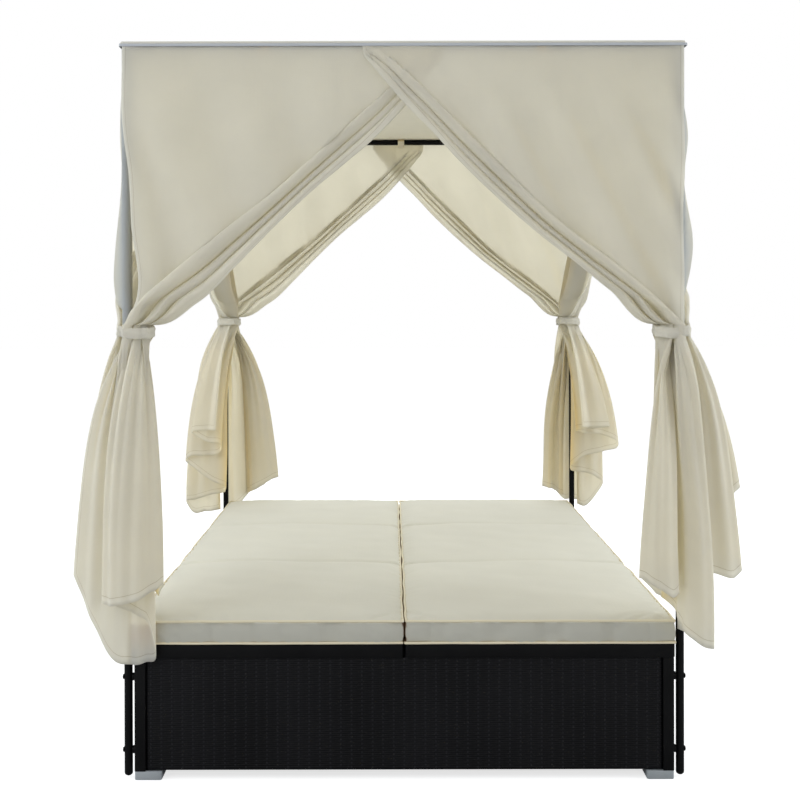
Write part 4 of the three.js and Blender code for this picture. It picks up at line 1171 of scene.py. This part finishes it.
def woven_board(name, size, relief, pitches, place, seed):
    """A closed board, woven on its outer face; place turns (along, across, out) to the frame."""
    length, height, deep = size
    ga, gb, up, sunk = woven_grid(length, height, relief, pitches, seed)
    rows, columns = ga.shape
    front = np.stack([ga, gb, deep + sunk], -1).reshape(-1, 3)
    ring = rim(rows, columns)
    back = np.arange(len(ring)) + len(front)
    faces = grid_faces(rows, columns).tolist()
    faces += np.stack([np.roll(ring, -1), ring, back, np.roll(back, -1)], -1).tolist()
    faces.append(back[::-1].tolist())
    points = np.vstack([place(front), place(front[ring] * [1, 1, 0])])
    mesh = bpy.data.meshes.new(name)
    mesh.from_pydata(points.tolist(), [], faces)
    mesh.polygons.foreach_set("use_smooth", np.arange(len(faces)) < len(faces) - 1)
    mesh.update()
    shell = bmesh.new()
    shell.from_mesh(mesh)
    bmesh.ops.recalc_face_normals(shell, faces=shell.faces)
    shell.to_mesh(mesh)
    shell.free()
    add_attribute(mesh, "strand_height", np.append(up, np.zeros(len(ring))))
    obj = bpy.data.objects.new(name, mesh)
    bpy.context.scene.collection.objects.link(obj)
    return obj


print(f"panels: rows {ROW_PITCH / MM:.1f} mm apart, stakes {STAKE_PITCH / MM:.1f} mm")

# %% [markdown]
# Resin strand is extruded plastic, dyed through, so it doesn't chip as paint does. Its raised parts are
# painted a little paler, as painted light, and the dips between them darker, as painted shade, and fine
# grooves along it break up its gloss. The material reads the height of the weave at each point for the
# first and a fine noise for the second.

# %% Resin strand and the boards it covers
def strand_material(name, colours, roughness, pitch):
    """Extruded resin strand: nearly black, painted paler where raised and darker between, as light and
    shade, with a dull gloss.
    """
    material, tree = new_material(name)
    where = add_node(tree, "ShaderNodeTexCoord").outputs["Object"]
    patches = add_node(tree, "ShaderNodeTexNoise", {"Vector": where}, Scale=PATCHES_PER_METRE, Detail=3.0)
    raised = add_node(tree, "ShaderNodeAttribute", attribute_name="strand_height").outputs["Fac"]
    # Painted light and shade: raised strand is painted paler and the dips darker, with a little tone in
    # patches.
    tone_and_painted_light = add_node(
        tree, "ShaderNodeMath", {0: patches.outputs["Fac"], 1: PATCHINESS, 2: raised},
        operation="MULTIPLY_ADD",
    )
    tones = add_node(tree, "ShaderNodeValToRGB", {"Fac": tone_and_painted_light.outputs[0]})
    for stop, place, tone in zip(tones.color_ramp.elements, (0.3, 0.95), colours):
        stop.position, stop.color = place, linear(tone)
    grooves = add_node(tree, "ShaderNodeTexNoise", {"Vector": where}, Scale=1 / pitch, Detail=2.0)
    bump = add_node(
        tree, "ShaderNodeBump", {"Height": grooves.outputs["Fac"]}, Strength=0.4, Distance=0.3 * MM
    )
    gloss = add_node(tree, "ShaderNodeMapRange", {
        "Value": patches.outputs["Fac"], "To Min": roughness - 0.06, "To Max": roughness + 0.08,
    })
    surface = add_node(tree, "ShaderNodeBsdfPrincipled", {
        "Base Color": tones.outputs["Color"], "Roughness": gloss.outputs[0], "Normal": bump.outputs[0],
        "IOR": 1.5, "Specular IOR Level": 0.11,
    })
    add_node(tree, "ShaderNodeOutputMaterial", {"Surface": surface.outputs[0]})
    return material


# The darker tone is for the dips, the paler one for raised strand: painted shade and painted light.
resin_strand = strand_material("resin_strand", ("#030304", "#1d1d20"), 0.38, 1.4 * MM)
woven = []


def weave(stands_for, name, axes, way, relief, pitches, body, seed):
    """Replaces a plain board. axes are those of along, across and out; way is 1 or -1 along out."""
    low, high = (np.array(corner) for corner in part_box(stands_for))
    along, over, out = axes

    def place(p):
        placed = np.empty_like(p)
        placed[:, along] = low[along] + p[:, 0]
        placed[:, over] = low[over] + p[:, 1]
        placed[:, out] = high[out] - p[:, 2] if way < 0 else low[out] + p[:, 2]
        return placed

    board = woven_board(name, (high - low)[list(axes)], relief, pitches, place, seed)
    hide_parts(stands_for)
    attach(board, body)
    woven.append(board)


panel_pitches, deck_pitches = (ROW_PITCH, STAKE_PITCH), (DECK_ROW, DECK_STAKE)
for side, axes, way, seed in (
    ("front", (0, 2, 1), -1, 60), ("back", (0, 2, 1), 1, 60),
    ("left", (1, 2, 0), -1, 61), ("right", (1, 2, 0), 1, 61),
):
    weave(f"panel_{side}", f"woven_{side}", axes, way, PANEL_RELIEF, panel_pitches, "base", seed)
for side in ("left", "right"):
    for part, body in (("seat_deck", "base"), ("backrest_deck", f"backrest_{side}")):
        name = f"{part}_{side}"
        weave(name, f"woven_{name}", (0, 1, 2), -1, DECK_RELIEF, deck_pitches, body, 62)
for board in woven:
    paint(board, resin_strand)
print("woven boards:", len(woven), "with", sum(len(o.data.polygons) for o in woven), "faces")

# %% [markdown]
# The frame, posts and rails are aluminium tube with a black powder coat: a baked polymer powder, a
# tenth of a millimetre thick, satin, with the fine unevenness called orange peel. The feet have a
# silver-grey paint that looks a little like plastic, and the rods that the backrests turn on are
# zinc-plated steel. These parts come from the frame, so their shape stays. Modifiers only soften
# their sharp edges by a millimetre, as the coat does, and shade their round sides as round.

# %% Powder coat, grey paint and zinc
SHADES_PER_METRE = 14.0


def coated_metal(name, colours, roughness, peel, gloss, metallic=0.0):
    material, tree = new_material(name)
    where = add_node(tree, "ShaderNodeTexCoord").outputs["Object"]
    uneven = add_node(tree, "ShaderNodeTexNoise", {"Vector": where}, Scale=SHADES_PER_METRE, Detail=4.0)
    tones = add_node(tree, "ShaderNodeValToRGB", {"Fac": uneven.outputs["Fac"]})
    for stop, place, tone in zip(tones.color_ramp.elements, (0.3, 0.7), colours):
        stop.position, stop.color = place, linear(tone)
    orange_peel = add_node(tree, "ShaderNodeTexNoise", {"Vector": where}, Scale=1 / peel, Detail=2.0)
    bump = add_node(
        tree, "ShaderNodeBump", {"Height": orange_peel.outputs["Fac"]}, Strength=0.25, Distance=0.15 * MM
    )
    rough = add_node(tree, "ShaderNodeMapRange", {
        "Value": uneven.outputs["Fac"], "To Min": roughness - 0.05, "To Max": roughness + 0.07,
    })
    surface = add_node(tree, "ShaderNodeBsdfPrincipled", {
        "Base Color": tones.outputs["Color"], "Roughness": rough.outputs[0], "Normal": bump.outputs[0],
        "Metallic": metallic, "Specular IOR Level": gloss,
    })
    add_node(tree, "ShaderNodeOutputMaterial", {"Surface": surface.outputs[0]})
    return material


black_powder_coat = coated_metal("black_powder_coat", ("#0b0b0c", "#111112"), 0.4, 2.2 * MM, 0.08)
silver_grey_paint = coated_metal("silver_grey_paint", ("#a0a6aa", "#abb0b4"), 0.45, 2.6 * MM, 0.3)
zinc_plate = coated_metal("zinc_plate", ("#a9abad", "#c2c4c6"), 0.32, 3.0 * MM, 0.5, metallic=1.0)
print("coats:", black_powder_coat.name, silver_grey_paint.name, zinc_plate.name)

# %% [markdown]
# A tube from the frame is a prism with flat sides. Shading it smooth all over would smear the light
# across its square ends, so a small node group shades every face smooth and then marks as sharp the
# edges that turn by more than fifty degrees. The bevel and the group are modifiers, which leave the
# mesh of the frame as it is.

# %% Soft edges and round sides
SMOOTH_BELOW = math.radians(50)
COAT_EDGE = 0.9 * MM
rounding = bpy.data.node_groups.new("round_sides", "GeometryNodeTree")
for way in ("INPUT", "OUTPUT"):
    rounding.interface.new_socket("Geometry", in_out=way, socket_type="NodeSocketGeometry")
start = add_node(rounding, "NodeGroupInput")
faces = add_node(rounding, "GeometryNodeSetShadeSmooth", {"Geometry": start.outputs[0]}, domain="FACE")
angle = add_node(rounding, "GeometryNodeInputMeshEdgeAngle").outputs["Unsigned Angle"]
sharp = add_node(rounding, "FunctionNodeCompare", {0: angle, 1: SMOOTH_BELOW}, operation="GREATER_THAN")
edges = add_node(
    rounding, "GeometryNodeSetShadeSmooth",
    {"Geometry": faces.outputs[0], "Selection": sharp.outputs[0], "Shade Smooth": False}, domain="EDGE",
)
add_node(rounding, "NodeGroupOutput", {0: edges.outputs[0]})


def finish_metal(node, material):
    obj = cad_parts[node]
    paint(obj, material)
    weld = obj.modifiers.new("joined corners", "WELD")
    weld.merge_threshold = 0.01 * MM
    soft = obj.modifiers.new("soft edges", "BEVEL")
    soft.width = COAT_EDGE
    soft.segments = 2
    soft.limit_method = "ANGLE"
    soft.angle_limit = SMOOTH_BELOW
    shade = obj.modifiers.new("round sides", "NODES")
    shade.node_group = rounding


FINISHES = {
    "foot_": silver_grey_paint,
    "hinge_rod": zinc_plate,
    **dict.fromkeys(
        ("base_cross", "corner_leg", "seat_frame", "backrest_frame", "prop_stand", "post_", "rail_"),
        black_powder_coat,
    ),
}
finished = 0
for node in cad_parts:
    for beginning, material in FINISHES.items():
        if node.startswith(beginning):
            finish_metal(node, material)
            finished += 1
print("coated parts:", finished)

# %% [markdown]
# The object was photographed on white, in soft light from all round, with the cloth glowing where the
# light came through it. A studio gets that with large softboxes above, to both sides and behind, a
# small one at the front left, and white walls. The walls are the world: it lights the object at a
# plain level, and it shows as pure white where the camera looks past the object, or where metal
# reflects it. The floor is matt and pale. For the camera alone it gets a little light of its own, so
# that it reaches white away from the object and still darkens where the object shades it.

# %% Floor and walls
FLOOR_SIZE = 60.0
WALL_LIGHT = 0.5
FLOOR_GREY = (0.62, 0.62, 0.62, 1)
FLOOR_LIFT = (0.73, 0.73, 0.73, 1)  # what the camera sees added to it


def seen_directly(tree):
    """1 where the camera, a reflection or a glass sees this surface, and 0 where light is gathered."""
    rays = add_node(tree, "ShaderNodeLightPath").outputs
    seen = rays["Is Camera Ray"]
    for kind in ("Is Glossy Ray", "Is Transmission Ray"):
        seen = add_node(tree, "ShaderNodeMath", {0: seen, 1: rays[kind]}, operation="MAXIMUM").outputs[0]
    return seen


world = bpy.data.worlds.new("white studio")
world.use_nodes = True
world.node_tree.nodes.clear()
walls = world.node_tree
strength = add_node(walls, "ShaderNodeMapRange", {"Value": seen_directly(walls), "To Min": WALL_LIGHT})
glow = add_node(walls, "ShaderNodeBackground", {"Strength": strength.outputs[0], "Color": (1, 1, 1, 1)})
add_node(walls, "ShaderNodeOutputWorld", {"Surface": glow.outputs[0]})
bpy.context.scene.world = world

floor_material, tree = new_material("matt_floor_paint")
matt = add_node(tree, "ShaderNodeBsdfDiffuse", {"Color": FLOOR_GREY})
for_camera = add_node(tree, "ShaderNodeLightPath").outputs["Is Camera Ray"]
lift = add_node(tree, "ShaderNodeEmission", {"Color": FLOOR_LIFT, "Strength": for_camera})
both = add_node(tree, "ShaderNodeAddShader", {0: matt.outputs[0], 1: lift.outputs[0]})
add_node(tree, "ShaderNodeOutputMaterial", {"Surface": both.outputs[0]})
half = FLOOR_SIZE / 2
floor_points = [[-half, -half, 0], [half, -half, 0], [half, half, 0], [-half, half, 0]]
floor = new_mesh("studio_floor", floor_points, [[0, 1, 2, 3]])
paint(floor, floor_material)
print("floor:", FLOOR_SIZE, "m wide")

# %% [markdown]
# A softbox is a lamp behind a sheet of white cloth: a large bright rectangle, whose shadows have soft
# edges. Blender's area lamp is just that. Each one is placed, aimed at the bed and given its power in
# watts. All are slightly cool, as daylight is beside the cream of the cloth.

# %% Lamps
LAMP_TINT = (0.9, 0.955, 1.0)


def softbox(name, place, aim, size, power):
    lamp = bpy.data.lights.new(name, "AREA")
    lamp.shape = "RECTANGLE"
    lamp.size, lamp.size_y = size
    lamp.energy = power
    lamp.color = LAMP_TINT
    obj = bpy.data.objects.new(name, lamp)
    obj.location = place
    obj.rotation_euler = (Vector(aim) - Vector(place)).to_track_quat("-Z", "Y").to_euler()
    bpy.context.scene.collection.objects.link(obj)


bpy.context.scene.view_settings.view_transform = "Standard"
softbox("overhead_softbox", (0.0, 0.2, 5.2), (0, 0, 0.4), (4.2, 3.6), 90)
softbox("left_softbox", (-4.6, -0.9, 2.1), (0, 0, 0.5), (3.6, 2.2), 78)
softbox("right_softbox", (4.6, -0.9, 2.1), (0, 0, 0.5), (3.6, 2.2), 100)
softbox("back_softbox", (0.3, 4.8, 2.6), (0, 0.3, 0.4), (4.0, 2.2), 78)
softbox("key_softbox", (-3.4, -4.2, 2.8), (0, 0, 0.9), (1.8, 1.8), 45)
